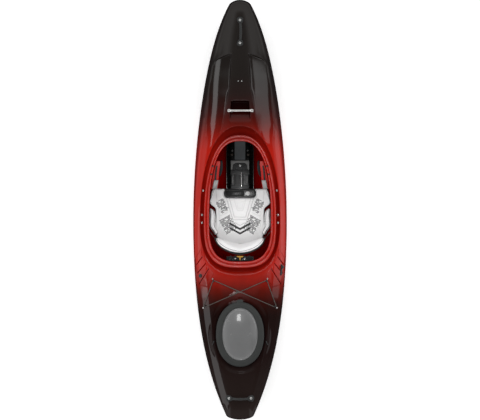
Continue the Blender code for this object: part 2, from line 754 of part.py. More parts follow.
BENDS = build_bungee()
for number, (arc, way, here) in enumerate(BENDS, 1):
    spot = arc[3]
    arch(f"bungee_eye_{number}", spot[0], spot[1], way, 0.0150, 0.0100, BLACK)
for side, name in ((-1, "pad_eye_left"), (1, "pad_eye_right")):
    arch(name, side * (HATCH[0] + PAD_EYE_SIDE), HATCH_Y - PAD_EYE_AFT, (side * 0.45, -1.0),
         0.026, 0.009, BLACK, 0.0022)


# seat: the pan's upper face is level in the middle and rises at its sides and front
def seat_top(x, y):
    side = np.clip(np.abs(x) - 0.11, 0, None)
    return SEAT_FLOOR + SEAT_RISE * smooth((y + 0.03) / 0.10) + 5.0 * side ** 2


def seat_side(y):
    return curve([(-0.215, 0.142), (-0.18, 0.150), (-0.150, 0.1585), (-0.02, 0.1590), (0.012, 0.165), (0.035, 0.192),
                  (0.08, 0.192), (0.14, 0.184)], y)


SEAT_U = np.sin(np.linspace(-math.pi / 2, math.pi / 2, 15))
SEAT_V = np.sin(np.linspace(-math.pi / 2, math.pi / 2, 15))


def seat_row(v):
    return (SEAT_FRONT + SEAT_REAR) / 2 + v * (SEAT_FRONT - SEAT_REAR) / 2


def build_pan():
    rings = []
    for y in seat_row(SEAT_V):
        half = float(seat_side(y))
        top = [(x * half, y, float(seat_top(x * half, y))) for x in SEAT_U]
        foot = min(half, 0.160)
        ring = top + [(foot, y, 0.0300), (foot, y, WALL + CLEAR), (-foot, y, WALL + CLEAR),
                      (-foot, y, 0.0300)]
        rings.append(ring)
    return loft("seat_pan", rings, GREY)


# pad: thickness swells from a drawn-in edge and dips along two nested channels
def build_pad():
    us = SEAT_U
    vs = SEAT_V
    verts = []
    tops = []
    for v in vs:
        y = float(seat_row(v))
        half = float(seat_side(y))
        for u in us:
            x = u * half
            base = float(seat_top(x, y)) + CLEAR
            edge = (1 - abs(u) ** 8) * (1 - abs(v) ** 10)
            tall = PAD_THICK * (0.35 + 0.65 * max(edge, 0.0) ** 0.5)
            for width, depth in ((0.072, 0.0035), (0.040, 0.003)):
                line = width - 0.35 * (0.06 - y)
                gap = abs(abs(x) - line) if -0.055 < y < 0.07 else 1.0
                tall -= depth * math.exp(-(gap / 0.007) ** 2)
            verts.append((x, y, base))
            tops.append((x, y, base + tall))
    n = len(us)
    m = len(vs)
    count = n * m
    faces = []
    for j in range(m - 1):
        for i in range(n - 1):
            a = j * n + i
            faces.append((a, a + 1, a + n + 1, a + n))
            faces.append((count + a, count + a + n, count + a + n + 1, count + a + 1))
    rim = [i for i in range(n)] + [j * n + n - 1 for j in range(1, m)]
    rim += [(m - 1) * n + i for i in range(n - 2, -1, -1)] + [j * n for j in range(m - 2, 0, -1)]
    bridge(faces, rim, [v + count for v in rim])
    pad = make("seat_pad", verts + tops, faces, WHITE_PAD)
    notch = round_rect(-0.1065, 0.1065, 0.0765, 0.160, 0.024)
    return cut(pad, slab("notch", notch, 0.02, 0.12, WHITE_PAD))


build_pan()
build_pad()
PLATE_Z = SEAT_FLOOR + SEAT_RISE + CLEAR
slab("seat_plate", round_rect(-0.105, 0.105, 0.078, 0.1350, 0.022), PLATE_Z, PLATE_Z + 0.016, BLACK, 0.003)
KNOB = (0.051, 0.107, PLATE_Z + 0.016 + CLEAR)
turn = np.linspace(0, 2 * math.pi, 17)[:-1]
slab("plate_knob", np.column_stack([KNOB[0] + 0.0145 * np.cos(turn), KNOB[1] + 0.0145 * np.sin(turn)]),
     KNOB[2], KNOB[2] + 0.008, GREY, 0.002, origin=KNOB)


# hip plates hang from the side deck; hip pads lie on their inner faces
def build_hips(side, word):
    y0, y1 = -0.116, 0.005
    tests = np.linspace(y0, y1, 15)
    inner_z = min(deck_under(x, y) for x in (0.2019, 0.2022, 0.2035, 0.2058) for y in tests) - CLEAR
    root_z = min(deck_under(x, y) for x in (0.2065, 0.210, 0.213) for y in tests) - CLEAR
    tip_z = min(deck_under(x, y) for x in (0.243, 0.246, 0.249) for y in tests) - CLEAR
    tip_z = min(tip_z, root_z)
    low = min(deck_under(x, y) - CLEAR - np.interp(x, (0.2135, 0.2485), (inner_z, tip_z))
              for x in np.linspace(0.2015, 0.2485, 24) for y in tests)
    inner_z += min(low, 0.0) - 0.0006
    tip_z += min(low, 0.0) - 0.0006
    profile = [(HIP_X, 0.036), (HIP_X + 0.0045, 0.036), (HIP_X + 0.0045, inner_z - 0.006),
               (0.214, inner_z - 0.006), (0.2485, tip_z - 0.0045), (0.2485, tip_z),
               (0.2135, inner_z), (HIP_X, inner_z)]
    rings = [[(side * x, y, z) for x, z in profile] for y in (y0, y1)]
    loft(f"hip_plate_{word}", rings, BLACK)
    rings = []
    for v in np.linspace(-1, 1, 9):
        y = -0.078 + v * 0.088
        swell = max(1 - abs(v) ** 4, 0.0) ** 0.5
        thick = 0.010 + 0.028 * swell
        tall = 0.040 + 0.025 * swell
        ring = []
        for k in range(12):
            a = 2 * math.pi * (k + 0.5) / 12
            c = math.copysign(abs(math.cos(a)) ** 0.6, math.cos(a))
            s = math.copysign(abs(math.sin(a)) ** 0.6, math.sin(a))
            tuck = 0.034 * float(smooth((-0.098 - y) / 0.070))
            x = HIP_X - CLEAR - tuck - thick / 2 + thick / 2 * c
            ring.append((side * x, y, 0.145 + tall * s))
        rings.append(ring)
    loft(f"hip_pad_{word}", rings, WHITE_PAD)


build_hips(-1, "left")
build_hips(1, "right")

# backband, swung on its side straps about a line across the boat
BAND_AXIS = (0.0, -0.115, 0.195)


def band_line(s):
    x = 0.162 * math.sin(s * math.pi / 2 * 0.96) / math.sin(math.pi / 2 * 0.96)
    top = BAND_MIDDLE + BAND_SWEEP * (s * s + 0.0004) ** 0.80
    return x, top


def band_rings(front, back, swell, height):
    rings = []
    for s in np.linspace(-1, 1, 15):
        x, top = band_line(s)
        x1, t1 = band_line(min(s + 0.02, 1.0))
        x0, t0 = band_line(max(s - 0.02, -1.0))
        way = np.array([x1 - x0, t1 - t0])
        way /= np.linalg.norm(way)
        ahead = np.array([-way[1], way[0]])
        fade = max(1 - abs(s) ** 5, 0.0) ** 0.5
        tall = height * (0.30 + 0.70 * fade)
        mid_z = 0.172 + 0.018 * abs(s) ** 2
        lean = BAND_LEAN * (1 - 0.7 * s * s)
        ring = []
        for k in range(12):
            a = 2 * math.pi * (k + 0.5) / 12
            c = math.copysign(abs(math.cos(a)) ** 0.6, math.cos(a))
            w = math.copysign(abs(math.sin(a)) ** 0.7, math.sin(a))
            thick = (front * (0.55 + 0.45 * fade) if swell else front) * (1 - swell * w * w * 0.3)
            out = back + (c + 1) / 2 * (thick - back)
            shift = out + lean * (1 - w) / 2
            ring.append((x + ahead[0] * shift, top + ahead[1] * shift, mid_z + w * tall))
        rings.append(ring)
    return rings


loft("backband_pad", band_rings(BAND_THICK, 0.0, 0.5, 0.062), WHITE_PAD, BAND_AXIS)
loft("backband_shell", band_rings(-0.0060, -0.0009, 0.0, 0.056), BLACK, BAND_AXIS)


# flat strap standing on edge along a path in plan
def strap(name, path, z, half_tall, thick, mat, origin=(0.0, 0.0, 0.0), mirror=1):
    path = [np.array(p, float) for p in path]
    rings = []
    for k, p in enumerate(path):
        a = path[max(k - 1, 0)]
        b = path[min(k + 1, len(path) - 1)]
        way = (b - a) / np.linalg.norm(b - a)
        n = np.array([-way[1], way[0]]) * thick / 2
        zz = z[k] if isinstance(z, (list, tuple)) else z
        ring = [(p[0] + n[0], p[1] + n[1], zz - half_tall), (p[0] - n[0], p[1] - n[1], zz - half_tall),
                (p[0] - n[0], p[1] - n[1], zz + half_tall), (p[0] + n[0], p[1] + n[1], zz + half_tall)]
        rings.append([(mirror * x, y, w) for x, y, w in ring])
    return loft(name, rings, mat, origin)


for side, word in ((-1, "left"), (1, "right")):
    strap(f"backband_strap_{word}", [(0.2152, -0.1050), (0.2152, -0.1200), (0.2085, -0.1330),
                                     (0.1980, -0.1475), (0.1840, -0.1655), (0.1715, -0.1800),
                                     (0.1680, -0.1868), (0.1643, -0.1960)],
          0.195, 0.010, 0.0025, WEBBING, BAND_AXIS, side)

# rear base under the coaming and its pull tab
BASE_FRONT = -0.3010
BULKHEAD = (-0.362, -0.392)
base_top = min(deck_under(x, y) for x in np.linspace(-0.092, 0.092, 9)
               for y in np.linspace(-0.3617, -0.325, 10)) - CLEAR
outline = []
ribs = 6
for k in range(ribs):
    x0 = -0.092 + 0.184 * k / ribs
    step = 0.184 / ribs
    outline += [(x0 + step * 0.12, BASE_FRONT + 0.006), (x0 + step * 0.20, BASE_FRONT),
                (x0 + step * 0.80, BASE_FRONT), (x0 + step * 0.88, BASE_FRONT + 0.006)]
outline = [(x, y - 0.006) for x, y in outline]
outline += [(0.092, BULKHEAD[0] + CLEAR), (-0.092, BULKHEAD[0] + CLEAR)]
slab("back_base", outline, 0.170, base_top - 0.002, BLACK)
tab = [(-0.0035, -0.3190), (0.0035, -0.3190), (0.0045, -0.3020), (0.0200, -0.2990), (0.0215, -0.2920),
       (-0.0215, -0.2920), (-0.0200, -0.2990), (-0.0045, -0.3020)]
slab("base_tab", [(x, y - 0.012) for x, y in tab], base_top - 0.002 + CLEAR, base_top + 0.0012, YELLOW)


def build_bulkhead():
    rings = []
    for y in (BULKHEAD[0], sum(BULKHEAD) / 2, BULKHEAD[1]):
        ring = []
        for k in range(60):
            a = 2 * math.pi * (k + 0.5) / 60
            way = Vector((math.cos(a), 0, math.sin(a)))
            start = Vector((0, y, 0.13))
            gaps = []
            for tree in (DECK_TREE, HULL_TREE):
                hit = tree.ray_cast(start, way)
                if hit[0] is not None:
                    spare = 0.0055 / max(abs(math.sin(a)), 0.35) if tree is DECK_TREE else 0.0012
                    gaps.append(hit[3] - spare)
            reach = min(gaps)
            ring.append((way.x * reach, y, 0.13 + way.z * reach))
        low = min(p[2] for p in ring)
        ring = [(x, yy, WALL + CLEAR if z < low + 0.0015 else z) for x, yy, z in ring]
        rings.append(ring)
    return loft("rear_bulkhead", rings, FOAM)


build_bulkhead()

# thigh braces lie in a sloping plane just inside the coaming wall
RUN = np.array([0.0, BRACE_END[0] - BRACE_START[0], BRACE_END[1] - BRACE_START[1]])
SLOPE = RUN / np.linalg.norm(RUN)
LIFT = np.array([0.0, -SLOPE[2], SLOPE[1]])
BRACE = ((0.0, BRACE_START[0], BRACE_START[1]), (1.0, 0.0, 0.0), tuple(SLOPE), tuple(LIFT))


def opening_x(y):
    t = (y - COCKPIT_Y) / OPENING[1]
    return OPENING[0] * (1 - t ** OPENING_POWERS[0]) ** (1 / OPENING_POWERS[0])


def along(y):
    return (y - BRACE_START[0]) / SLOPE[1]


def brace_plane(points, side):
    return [(side * x, along(y)) for x, y in points][::side]


def lever_frame(side):
    spot = place([(side * 0.166, along(0.1440), 0.0183)], *BRACE)[0]
    return tuple(spot)


for side, word in ((-1, "left"), (1, "right")):
    rim_side = [(opening_x(y) - 0.0012, y) for y in np.linspace(0.138, 0.322, 9)]
    inner_side = [(0.1310, 0.322), (0.1290, 0.300), (0.1350, 0.260), (0.1410, 0.205), (0.1430, 0.165),
                  (0.1480, 0.138)]
    slab(f"thigh_brace_{word}", brace_plane(rim_side + inner_side, side), 0.0, 0.005, BRACE_RED, frame=BRACE)
    pad = [(0.1300, 0.318), (0.1284, 0.300), (0.1341, 0.262), (0.1384, 0.222), (0.1330, 0.216),
           (0.1200, 0.238), (0.1120, 0.275), (0.1135, 0.308), (0.1190, 0.322)]
    slab(f"thigh_pad_{word}", brace_plane(pad, side), -0.026, 0.009, BRACE_PAD, 0.002, frame=BRACE)
    base = [(x - 0.186 * (y - 0.139), y) for x, y in round_rect(0.1520, 0.1812, 0.139, 0.195, 0.004, 2)]
    slab(f"ratchet_base_{word}", brace_plane(base, side), 0.0053, 0.0155, ALUMINIUM, frame=BRACE)
    lever = []
    for a in np.linspace(90, 270, 7):
        lever.append((along(0.1440) + 0.0023 * math.cos(math.radians(a)),
                      0.0183 + 0.0023 * math.sin(math.radians(a))))
    lever += [(along(0.186), 0.0160), (along(0.193), 0.0175), (along(0.193), 0.0200), (along(0.186), 0.0206)]
    rings = [place([(side * (x - 0.18 * v), v, w) for v, w in lever], *BRACE) for x in (0.1535, 0.1790)]
    loft(f"ratchet_lever_{word}", rings, STEEL, lever_frame(side))
    ladder = [(0.1675, 0.1956), (0.1560, 0.1956), (0.1525, 0.2450), (0.1470, 0.2900), (0.1580, 0.2900),
              (0.1635, 0.2450)]
    slab(f"ladder_strap_{word}", brace_plane(ladder, side), 0.0053, 0.0083, BLACK, frame=BRACE)
    rear_z = place([(0.0, along(0.1385), 0.010)], *BRACE)[0][2]
    heights = [rear_z, rear_z - 0.018, rear_z - 0.045, rear_z - 0.058, 0.198, 0.195, 0.195]
    strap(f"side_strap_{word}", [(0.1690, 0.1352), (0.1740, 0.1180), (0.1830, 0.0950), (0.1960, 0.0620),
                                 (0.2110, 0.0200), (0.2180, -0.0500), (0.2180, -0.1240)],
          heights, 0.007, 0.0025, WEBBING, mirror=side)

# console tray on the floor, its frame and its block
TRAY = 0.090
TRAY_WALL = 0.004
TRAY_TALL = 0.062
tray = [(-TRAY, WALL + CLEAR), (TRAY, WALL + CLEAR), (TRAY, TRAY_TALL), (TRAY - TRAY_WALL, TRAY_TALL),
        (TRAY - TRAY_WALL, WALL + CLEAR + 0.004), (-TRAY + TRAY_WALL, WALL + CLEAR + 0.004),
        (-TRAY + TRAY_WALL, TRAY_TALL), (-TRAY, TRAY_TALL)]
loft("console", [[(x, y, z) for x, z in tray] for y in (SEAT_FRONT + 0.0006, 0.4550)], BLACK)
TRAY_FLOOR = WALL + CLEAR + 0.004 + CLEAR
frame_plan = [(-0.061, 0.3240), (-0.061, 0.2620), (-0.050, 0.2620), (-0.046, 0.2950), (-0.030, 0.3080),
              (0.030, 0.3080), (0.046, 0.2950), (0.050, 0.2620), (0.061, 0.2620), (0.061, 0.3240)]
slab("console_frame", frame_plan, TRAY_FLOOR, 0.0460, GREY)
block_plan = [(-0.062, 0.2610), (-0.062, 0.2330), (-0.034, 0.2330), (-0.034, 0.1620), (-0.060, 0.1560),
              (-0.060, 0.1420), (0.060, 0.1420), (0.060, 0.1560), (0.022, 0.1620), (0.022, 0.2330),
              (0.062, 0.2330), (0.062, 0.2610)]
slab("console_block", block_plan, TRAY_FLOOR, 0.0400, DARK_RUBBER)


# front pillar: foam wall on the centre line, from the console to under the foredeck
def build_pillar():
    half = 0.0355
    rings = []
    stations = [0.3265, 0.380, 0.4400, 0.4556, 0.4575, 0.470, 0.50, 0.53, 0.56, 0.59, 0.62, 0.65,
                0.68, 0.705, 0.73, 0.76, 0.80, 0.86, 0.92]
    for y in stations:
        floor = TRAY_FLOOR if y < 0.457 else max(floor_at(x, y + d) for x in (0, half)
                                                 for d in (-0.004, 0.0, 0.004)) + CLEAR
        if y < 0.456:
            top = 0.150 + 0.085 * float(smooth((y - 0.3265) / 0.13))
        else:
            spots = [deck_under(x, y + d) for x in np.linspace(0, half, 5)
                     for d in (-0.016, -0.008, 0.0, 0.008, 0.016)]
            top = min(spots) - 0.0020
        rings.append([(-half, y, floor), (half, y, floor), (half, y, top), (-half, y, top)])
    return loft("front_pillar", rings, FOAM)


build_pillar()


def hull_side(y, z):
    hit = HULL_TREE.ray_cast(Vector((0.0, y, z)), Vector((1, 0, 0)))
    return hit[0].x


# foot rails along the hull's inner sides and pedals that slide on them
RAIL_Z = 0.115
RAIL_Y = (0.500, 0.860)
rail_x = [hull_side(y, RAIL_Z + 0.012) for y in RAIL_Y]
rail_x = [min(x, hull_side(y, RAIL_Z - 0.012)) - CLEAR + 0.0002 for x, y in zip(rail_x, RAIL_Y)]
rail_way = np.array([rail_x[1] - rail_x[0], RAIL_Y[1] - RAIL_Y[0], 0.0])
RAIL_SPAN = float(np.linalg.norm(rail_way))
rail_way /= RAIL_SPAN
rail_in = np.array([-rail_way[1], rail_way[0], 0.0])
print("rail direction", rail_way, "rail x", rail_x)

for side, word in ((-1, "left"), (1, "right")):
    mirror = np.array([side, 1.0, 1.0])
    frame = (np.array([rail_x[0], RAIL_Y[0], RAIL_Z]) * mirror, rail_in * mirror, rail_way * mirror,
             np.array([0.0, 0.0, 1.0]))
    rail = round_rect(0.0, 0.010, 0.0, RAIL_SPAN, 0.003, 2)
    slab(f"foot_rail_{word}", rail, -0.011, 0.011, ALUMINIUM, frame=frame)
    step = RAIL_SPAN * 0.42
    pedal = [(0.0103, step - 0.045), (0.0103, step + 0.025), (0.0200, step + 0.025), (0.0220, step + 0.008),
             (0.1000, step + 0.004), (0.1060, step - 0.002), (0.1040, step - 0.008), (0.0220, step - 0.008),
             (0.0180, step - 0.045)]
    spot = tuple(place([(0.015, step, 0.0)], *frame)[0])
    slab(f"foot_pedal_{word}", pedal, -0.018, 0.074, BLACK, frame=frame, origin=spot)

# skeg: case on the floor with its pin, blade on the pin, slot through the hull
SLOT_Y = (-0.973, -0.732)
HULL = cut(HULL, slab("slot", round_rect(-SKEG_SLOT, SKEG_SLOT, *SLOT_Y, 0.004, 3), -0.02, 0.03, BLACK))


def build_skeg():
    floor = max(floor_at(x, y) for x in (0.0, 0.013) for y in np.linspace(SKEG_REAR, SKEG_FRONT, 12)
                if not (x == 0.0)) + CLEAR
    rings = []
    outer = round_rect(-0.0125, 0.0125, SKEG_REAR, SKEG_FRONT, 0.004, 2)
    hollow = round_rect(-SKEG_SLOT, SKEG_SLOT, SLOT_Y[0] - 0.002, SLOT_Y[1] + 0.002, 0.003, 2)
    rings = [np.column_stack([outer, np.full(len(outer), 0.152)]),
             np.column_stack([outer, np.full(len(outer), floor)]),
             np.column_stack([hollow, np.full(len(hollow), floor)]),
             np.column_stack([hollow, np.full(len(hollow), 0.146)])]
    case = loft("skeg_box", rings, GREY)
    turn = np.linspace(0, 2 * math.pi, 13)[:-1]

    def rod(name, radius, half):
        ring = [[(x, SKEG_PIVOT[1] + radius * math.cos(a), SKEG_PIVOT[2] + radius * math.sin(a))
                 for a in turn] for x in (-half, half)]
        return loft(name, ring, GREY)

    cut(case, rod("pin", 0.0030, 0.0080), "UNION")
    profile = [(-0.7390, 0.0300), (-0.7400, 0.0225), (-0.7440, 0.0185), (-0.7600, 0.0150),
               (-0.9300, 0.0100), (-0.9500, 0.0150), (-0.9560, 0.0300), (-0.9480, 0.0600),
               (-0.9300, 0.0850), (-0.9000, 0.0980), (-0.8600, 0.0960), (-0.7620, 0.0470),
               (-0.7440, 0.0400)]
    half = SKEG_THICK / 2
    blade = loft("skeg_blade", [[(x, y, z) for y, z in profile] for x in (-half, half)], BLACK, SKEG_PIVOT)
    cut(blade, rod("bore", 0.0034, 0.02))


build_skeg()


def deck_normal(x, y):
    hit = DECK_TREE.ray_cast(Vector((x, y, 1.0)), Vector((0, 0, -1)))
    n = np.array(hit[1])
    return np.array(hit[0]), n if n[2] > 0 else -n


def surface_frame(x, y, way=(0.0, 1.0, 0.0)):
    spot, up = deck_normal(x, y)
    ex = np.cross(np.asarray(way, float), up)
    ex /= np.linalg.norm(ex)
    ey = np.cross(up, ex)
    return spot, tuple(ex), tuple(ey), tuple(up)


def lift_off(frame, half_x, half_y):
    spot, ex, ey, up = frame
    worst = 0.0
    for u in np.linspace(-half_x, half_x, 7):
        for v in np.linspace(-half_y, half_y, 7):
            p = Vector(spot + np.array(ex) * u + np.array(ey) * v + np.array(up) * 0.05)
            hit = DECK_TREE.ray_cast(p, -Vector(up))
            if hit[0] is not None:
                worst = max(worst, 0.05 - hit[3])
    return worst + CLEAR


# drain fitting on the left shoulder
DRAIN = surface_frame(0.0492 - HALF_BEAM, -0.434)
drain_base = lift_off(DRAIN, 0.013, 0.013)
turn = np.linspace(0, 2 * math.pi, 17)[:-1]
cup = [(0.013, 0.0), (0.013, 0.005), (0.0092, 0.005), (0.0092, 0.0015)]
rings = [place([(r * math.cos(a), r * math.sin(a), drain_base + h) for a in turn], *DRAIN) for r, h in cup]
loft("drain_seat", rings, BLACK)
plug = [(0.0088, 0.0018), (0.0088, 0.0053), (0.0115, 0.0053), (0.0115, 0.0080), (0.0095, 0.0100)]
rings = [place([(r * math.cos(a), r * math.sin(a), drain_base + h) for a in turn], *DRAIN) for r, h in plug]
DRAIN_SPOT = tuple(place([(0.0, 0.0, drain_base + 0.0018)], *DRAIN)[0])
loft("drain_plug", rings, DARK_RUBBER, DRAIN_SPOT)
print("drain spot", DRAIN_SPOT, "axis", DRAIN[3])

# skeg cleat and its knob on the right shoulder
CLEAT = surface_frame(HALF_BEAM - 0.0372, -0.395, (-0.12, -1.0, 0.0))
cleat_base = lift_off(CLEAT, 0.007, 0.038)
slab("skeg_cleat", round_rect(-0.0065, 0.0065, -0.037, 0.037, 0.006, 2), cleat_base, cleat_base + 0.007,
     BLACK, 0.0015, frame=CLEAT)
knob = [(0.004, 0.0073), (0.009, 0.0095), (0.0115, 0.0150), (0.0095, 0.0210), (0.004, 0.0235)]
rings = [place([(r * math.cos(a), -0.019 + r * math.sin(a), cleat_base + h) for a in turn], *CLEAT)
         for r, h in knob]
loft("skeg_knob", rings, GREY)
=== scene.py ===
import json
import math

import bmesh
import bpy
import numpy as np
from mathutils import Matrix, Vector
from mathutils.bvhtree import BVHTree


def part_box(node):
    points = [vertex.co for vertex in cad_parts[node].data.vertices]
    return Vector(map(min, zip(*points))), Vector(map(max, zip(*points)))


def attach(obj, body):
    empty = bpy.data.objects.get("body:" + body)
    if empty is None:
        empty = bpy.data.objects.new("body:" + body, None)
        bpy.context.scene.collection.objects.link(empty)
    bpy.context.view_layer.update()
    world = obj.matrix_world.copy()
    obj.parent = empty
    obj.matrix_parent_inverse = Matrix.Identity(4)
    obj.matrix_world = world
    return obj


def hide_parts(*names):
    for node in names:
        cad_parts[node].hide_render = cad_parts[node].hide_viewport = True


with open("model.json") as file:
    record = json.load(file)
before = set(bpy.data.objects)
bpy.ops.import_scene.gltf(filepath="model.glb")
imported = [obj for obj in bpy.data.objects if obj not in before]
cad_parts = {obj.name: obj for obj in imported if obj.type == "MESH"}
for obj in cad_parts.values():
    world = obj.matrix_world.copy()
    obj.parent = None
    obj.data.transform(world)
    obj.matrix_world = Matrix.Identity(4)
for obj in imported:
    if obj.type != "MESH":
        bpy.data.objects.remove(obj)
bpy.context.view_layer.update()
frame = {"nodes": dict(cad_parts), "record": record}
print("frame loaded:", len(frame["nodes"]), "nodes")

scene = bpy.context.scene
pi = math.pi
up = np.array([0.0, 0.0, 1.0])
sides = ((-1, "Left"), (1, "Right"))


# camera, sky, lamps
viewSetup = {
    "pixelSize": 0.006563,        # metres of kayak to one pixel of the picture
    "pictureWidth": 480,
    "middleY": -0.002,
    "cameraHeight": 6.0,
    # sky strength by the height of its direction, from the floor's edge to straight above
    "sky": [(0.0, 1.0), (0.30, 1.28), (0.86, 1.38), (0.93, 0.95), (0.972, 0.42), (1.0, 0.32)],
    # dim part of the sky at each side: by turn towards the bow, then by height
    "dimTurn": [(-0.50, 0.0), (-0.38, 1.0), (0.18, 1.0), (0.26, 0.0)],
    "dimHeight": [(0.44, 0.0), (0.52, 1.0), (0.80, 1.0), (0.86, 0.0)],
    "dim": 0.86,
    # and the dim part that takes in the right rear up to nearly overhead
    "rightRear": [(0.50, 0.0), (0.62, 1.0)],
    "rearTurn": [(-0.62, 0.0), (-0.50, 0.85), (-0.20, 0.85), (-0.06, 0.0)],
    "rearHeight": [(0.44, 0.0), (0.52, 1.0), (0.955, 1.0), (0.975, 0.0)],
}

camData = bpy.data.cameras.new("topCamera")
camData.type = "ORTHO"
camData.ortho_scale = viewSetup["pixelSize"] * viewSetup["pictureWidth"]
camData.clip_end = 40
camera = bpy.data.objects.new("topCamera", camData)
scene.collection.objects.link(camera)
camera.location = (0, viewSetup["middleY"], viewSetup["cameraHeight"])
scene.camera = camera
scene.view_settings.view_transform = "Standard"


def mathNode(tree, operation, *values):
    node = tree.nodes.new("ShaderNodeMath")
    node.operation = operation
    for k, value in enumerate(values):
        if isinstance(value, (int, float)):
            node.inputs[k].default_value = value
        else:
            tree.links.new(value, node.inputs[k])
    return node.outputs[0]


def plus(tree, a, b):
    return mathNode(tree, "ADD", a, b)


def minus(tree, a, b):
    return mathNode(tree, "SUBTRACT", a, b)


def times(tree, a, b):
    return mathNode(tree, "MULTIPLY", a, b)


# value carried through a ramp of (position, strength or colour) stops
def rampNode(tree, value, points, shift=0.0, scale=1.0):
    node = tree.nodes.new("ShaderNodeValToRGB")
    stops = node.color_ramp.elements
    while len(stops) < len(points):
        stops.new(0.5)
    for stop, (spot, shade) in zip(stops, points):
        stop.position = (spot + shift) * scale
        stop.color = (*(shade if isinstance(shade, tuple) else (shade,) * 3), 1.0)
    tree.links.new(value, node.inputs[0])
    return node.outputs[0]


# sky: a bright ring between the dim part straight above and the dark near the floor, broken at each side
def makeSky():
    world = bpy.data.worlds.new("studio")
    scene.world = world
    world.use_nodes = True
    tree = world.node_tree
    tree.nodes.clear()
    axes = tree.nodes.new("ShaderNodeSeparateXYZ")
    tree.links.new(tree.nodes.new("ShaderNodeTexCoord").outputs["Generated"], axes.inputs[0])
    tall = axes.outputs["Z"]
    # turn: y over the level part of the direction, moved from the range -1 to 1 into 0 to 1
    level = mathNode(tree, "SQRT", minus(tree, 1.0001, times(tree, tall, tall)))
    turn = plus(tree, times(tree, mathNode(tree, "DIVIDE", axes.outputs["Y"], level), 0.5), 0.5)
    beside = rampNode(tree, turn, viewSetup["dimTurn"], 1.0, 0.5)
    between = rampNode(tree, tall, viewSetup["dimHeight"])
    dim = times(tree, times(tree, beside, between), viewSetup["dim"])
    rightRear = rampNode(tree, mathNode(tree, "DIVIDE", axes.outputs["X"], level), viewSetup["rightRear"])
    rightRear = times(tree, rightRear, rampNode(tree, turn, viewSetup["rearTurn"], 1.0, 0.5))
    rightRear = times(tree, rightRear, rampNode(tree, tall, viewSetup["rearHeight"]))
    dim = mathNode(tree, "MAXIMUM", dim, rightRear)
    strength = times(tree, rampNode(tree, tall, viewSetup["sky"]), minus(tree, 1.0, dim))
    shine = tree.nodes.new("ShaderNodeBackground")
    tree.links.new(strength, shine.inputs["Strength"])
    tree.links.new(shine.outputs[0], tree.nodes.new("ShaderNodeOutputWorld").inputs["Surface"])


makeSky()

# soft boxes: name, place, the point each faces, width across and along the boat, watts
softBoxes = [
    ("rightBox", (1.83, 0.765, 1.92), (0.13, 0.70, 0.30), 0.52, 0.99, 3.5),
    ("leftStrip", (-1.475, 0.76, 1.45), (-0.16, 0.75, 0.30), 0.145, 1.12, 1.9),
    ("leftRear", (-1.475, -1.15, 1.55), (-0.19, -0.85, 0.25), 0.30, 1.50, 3.3),
    ("slatLeft", (-1.50, -0.36, 1.05), (-0.25, -0.38, 0.27), 0.90, 0.60, 2.4),
    ("slatRight", (1.50, -0.36, 1.05), (0.25, -0.38, 0.27), 0.90, 0.60, 2.4),
    ("lowRight", (1.60, 0.05, 0.40), (0.28, 0.05, 0.24), 0.60, 1.00, 2.6),
    ("overRim", (0.0, 0.12, 1.05), (0.0, 0.1199, 0.05), 0.34, 0.26, 0.9),
    ("overHatch", (-0.020, -0.605, 0.84), (-0.014, -0.70, 0.29), 0.065, 0.10, 0.20),
]
# soft spot over the seat: place, width of its cone in degrees, softness, size and watts
seatLamp = {"spot": (0.0, -0.05, 3.2), "cone": 7.4, "soft": 0.75, "size": 0.15, "watts": 122.0}


def makeSoftBoxes():
    for name, spot, aim, across, along, watts in softBoxes:
        data = bpy.data.lights.new(name, "AREA")
        data.shape = "RECTANGLE"
        data.size = across
        data.size_y = along
        data.energy = watts
        lamp = bpy.data.objects.new(name, data)
        lamp.location = spot
        back = (Vector(spot) - Vector(aim)).normalized()
        side = Vector((0, 1, 0)).cross(back)
        side.normalize()
        tall = back.cross(side)
        lamp.rotation_mode = "QUATERNION"
        lamp.rotation_quaternion = Matrix([[side[i], tall[i], back[i]] for i in range(3)]).to_quaternion()
        scene.collection.objects.link(lamp)
    data = bpy.data.lights.new("seatLamp", "SPOT")
    data.spot_size = math.radians(seatLamp["cone"])
    data.spot_blend = seatLamp["soft"]
    data.shadow_soft_size = seatLamp["size"]
    data.energy = seatLamp["watts"]
    lamp = bpy.data.objects.new("seatLamp", data)
    lamp.location = seatLamp["spot"]
    scene.collection.objects.link(lamp)


makeSoftBoxes()
print("camera, sky and lamps")


# shader groups
def newGroup(name, inputs, outputs):
    tree = bpy.data.node_groups.new(name, "ShaderNodeTree")
    for label, kind, value in inputs:
        socket = tree.interface.new_socket(label, in_out="INPUT", socket_type=kind)
        if value is not None:
            socket.default_value = value
    for label, kind in outputs:
        tree.interface.new_socket(label, in_out="OUTPUT", socket_type=kind)
    return tree, tree.nodes.new("NodeGroupInput"), tree.nodes.new("NodeGroupOutput")


def noiseNode(tree, vector, scale, detail=3.0):
    node = tree.nodes.new("ShaderNodeTexNoise")
    node.inputs["Detail"].default_value = detail
    if isinstance(scale, (int, float)):
        node.inputs["Scale"].default_value = scale
    else:
        tree.links.new(scale, node.inputs["Scale"])
    tree.links.new(vector, node.inputs["Vector"])
    return node.outputs[0]


def objectCoords(tree):
    return tree.nodes.new("ShaderNodeTexCoord").outputs["Object"]


# fine pebble height and slow cloudy patches, both from noise in metres
def makeGrainGroup():
    tree, goingIn, goingOut = newGroup(
        "mouldedGrain", [("Scale", "NodeSocketFloat", 900.0)],
        [("Height", "NodeSocketFloat"), ("Patches", "NodeSocketFloat")])
    coords = objectCoords(tree)
    tree.links.new(noiseNode(tree, coords, goingIn.outputs["Scale"], 2.0), goingOut.inputs["Height"])
    tree.links.new(noiseNode(tree, coords, 14.0, 4.0), goingOut.inputs["Patches"])
    return tree


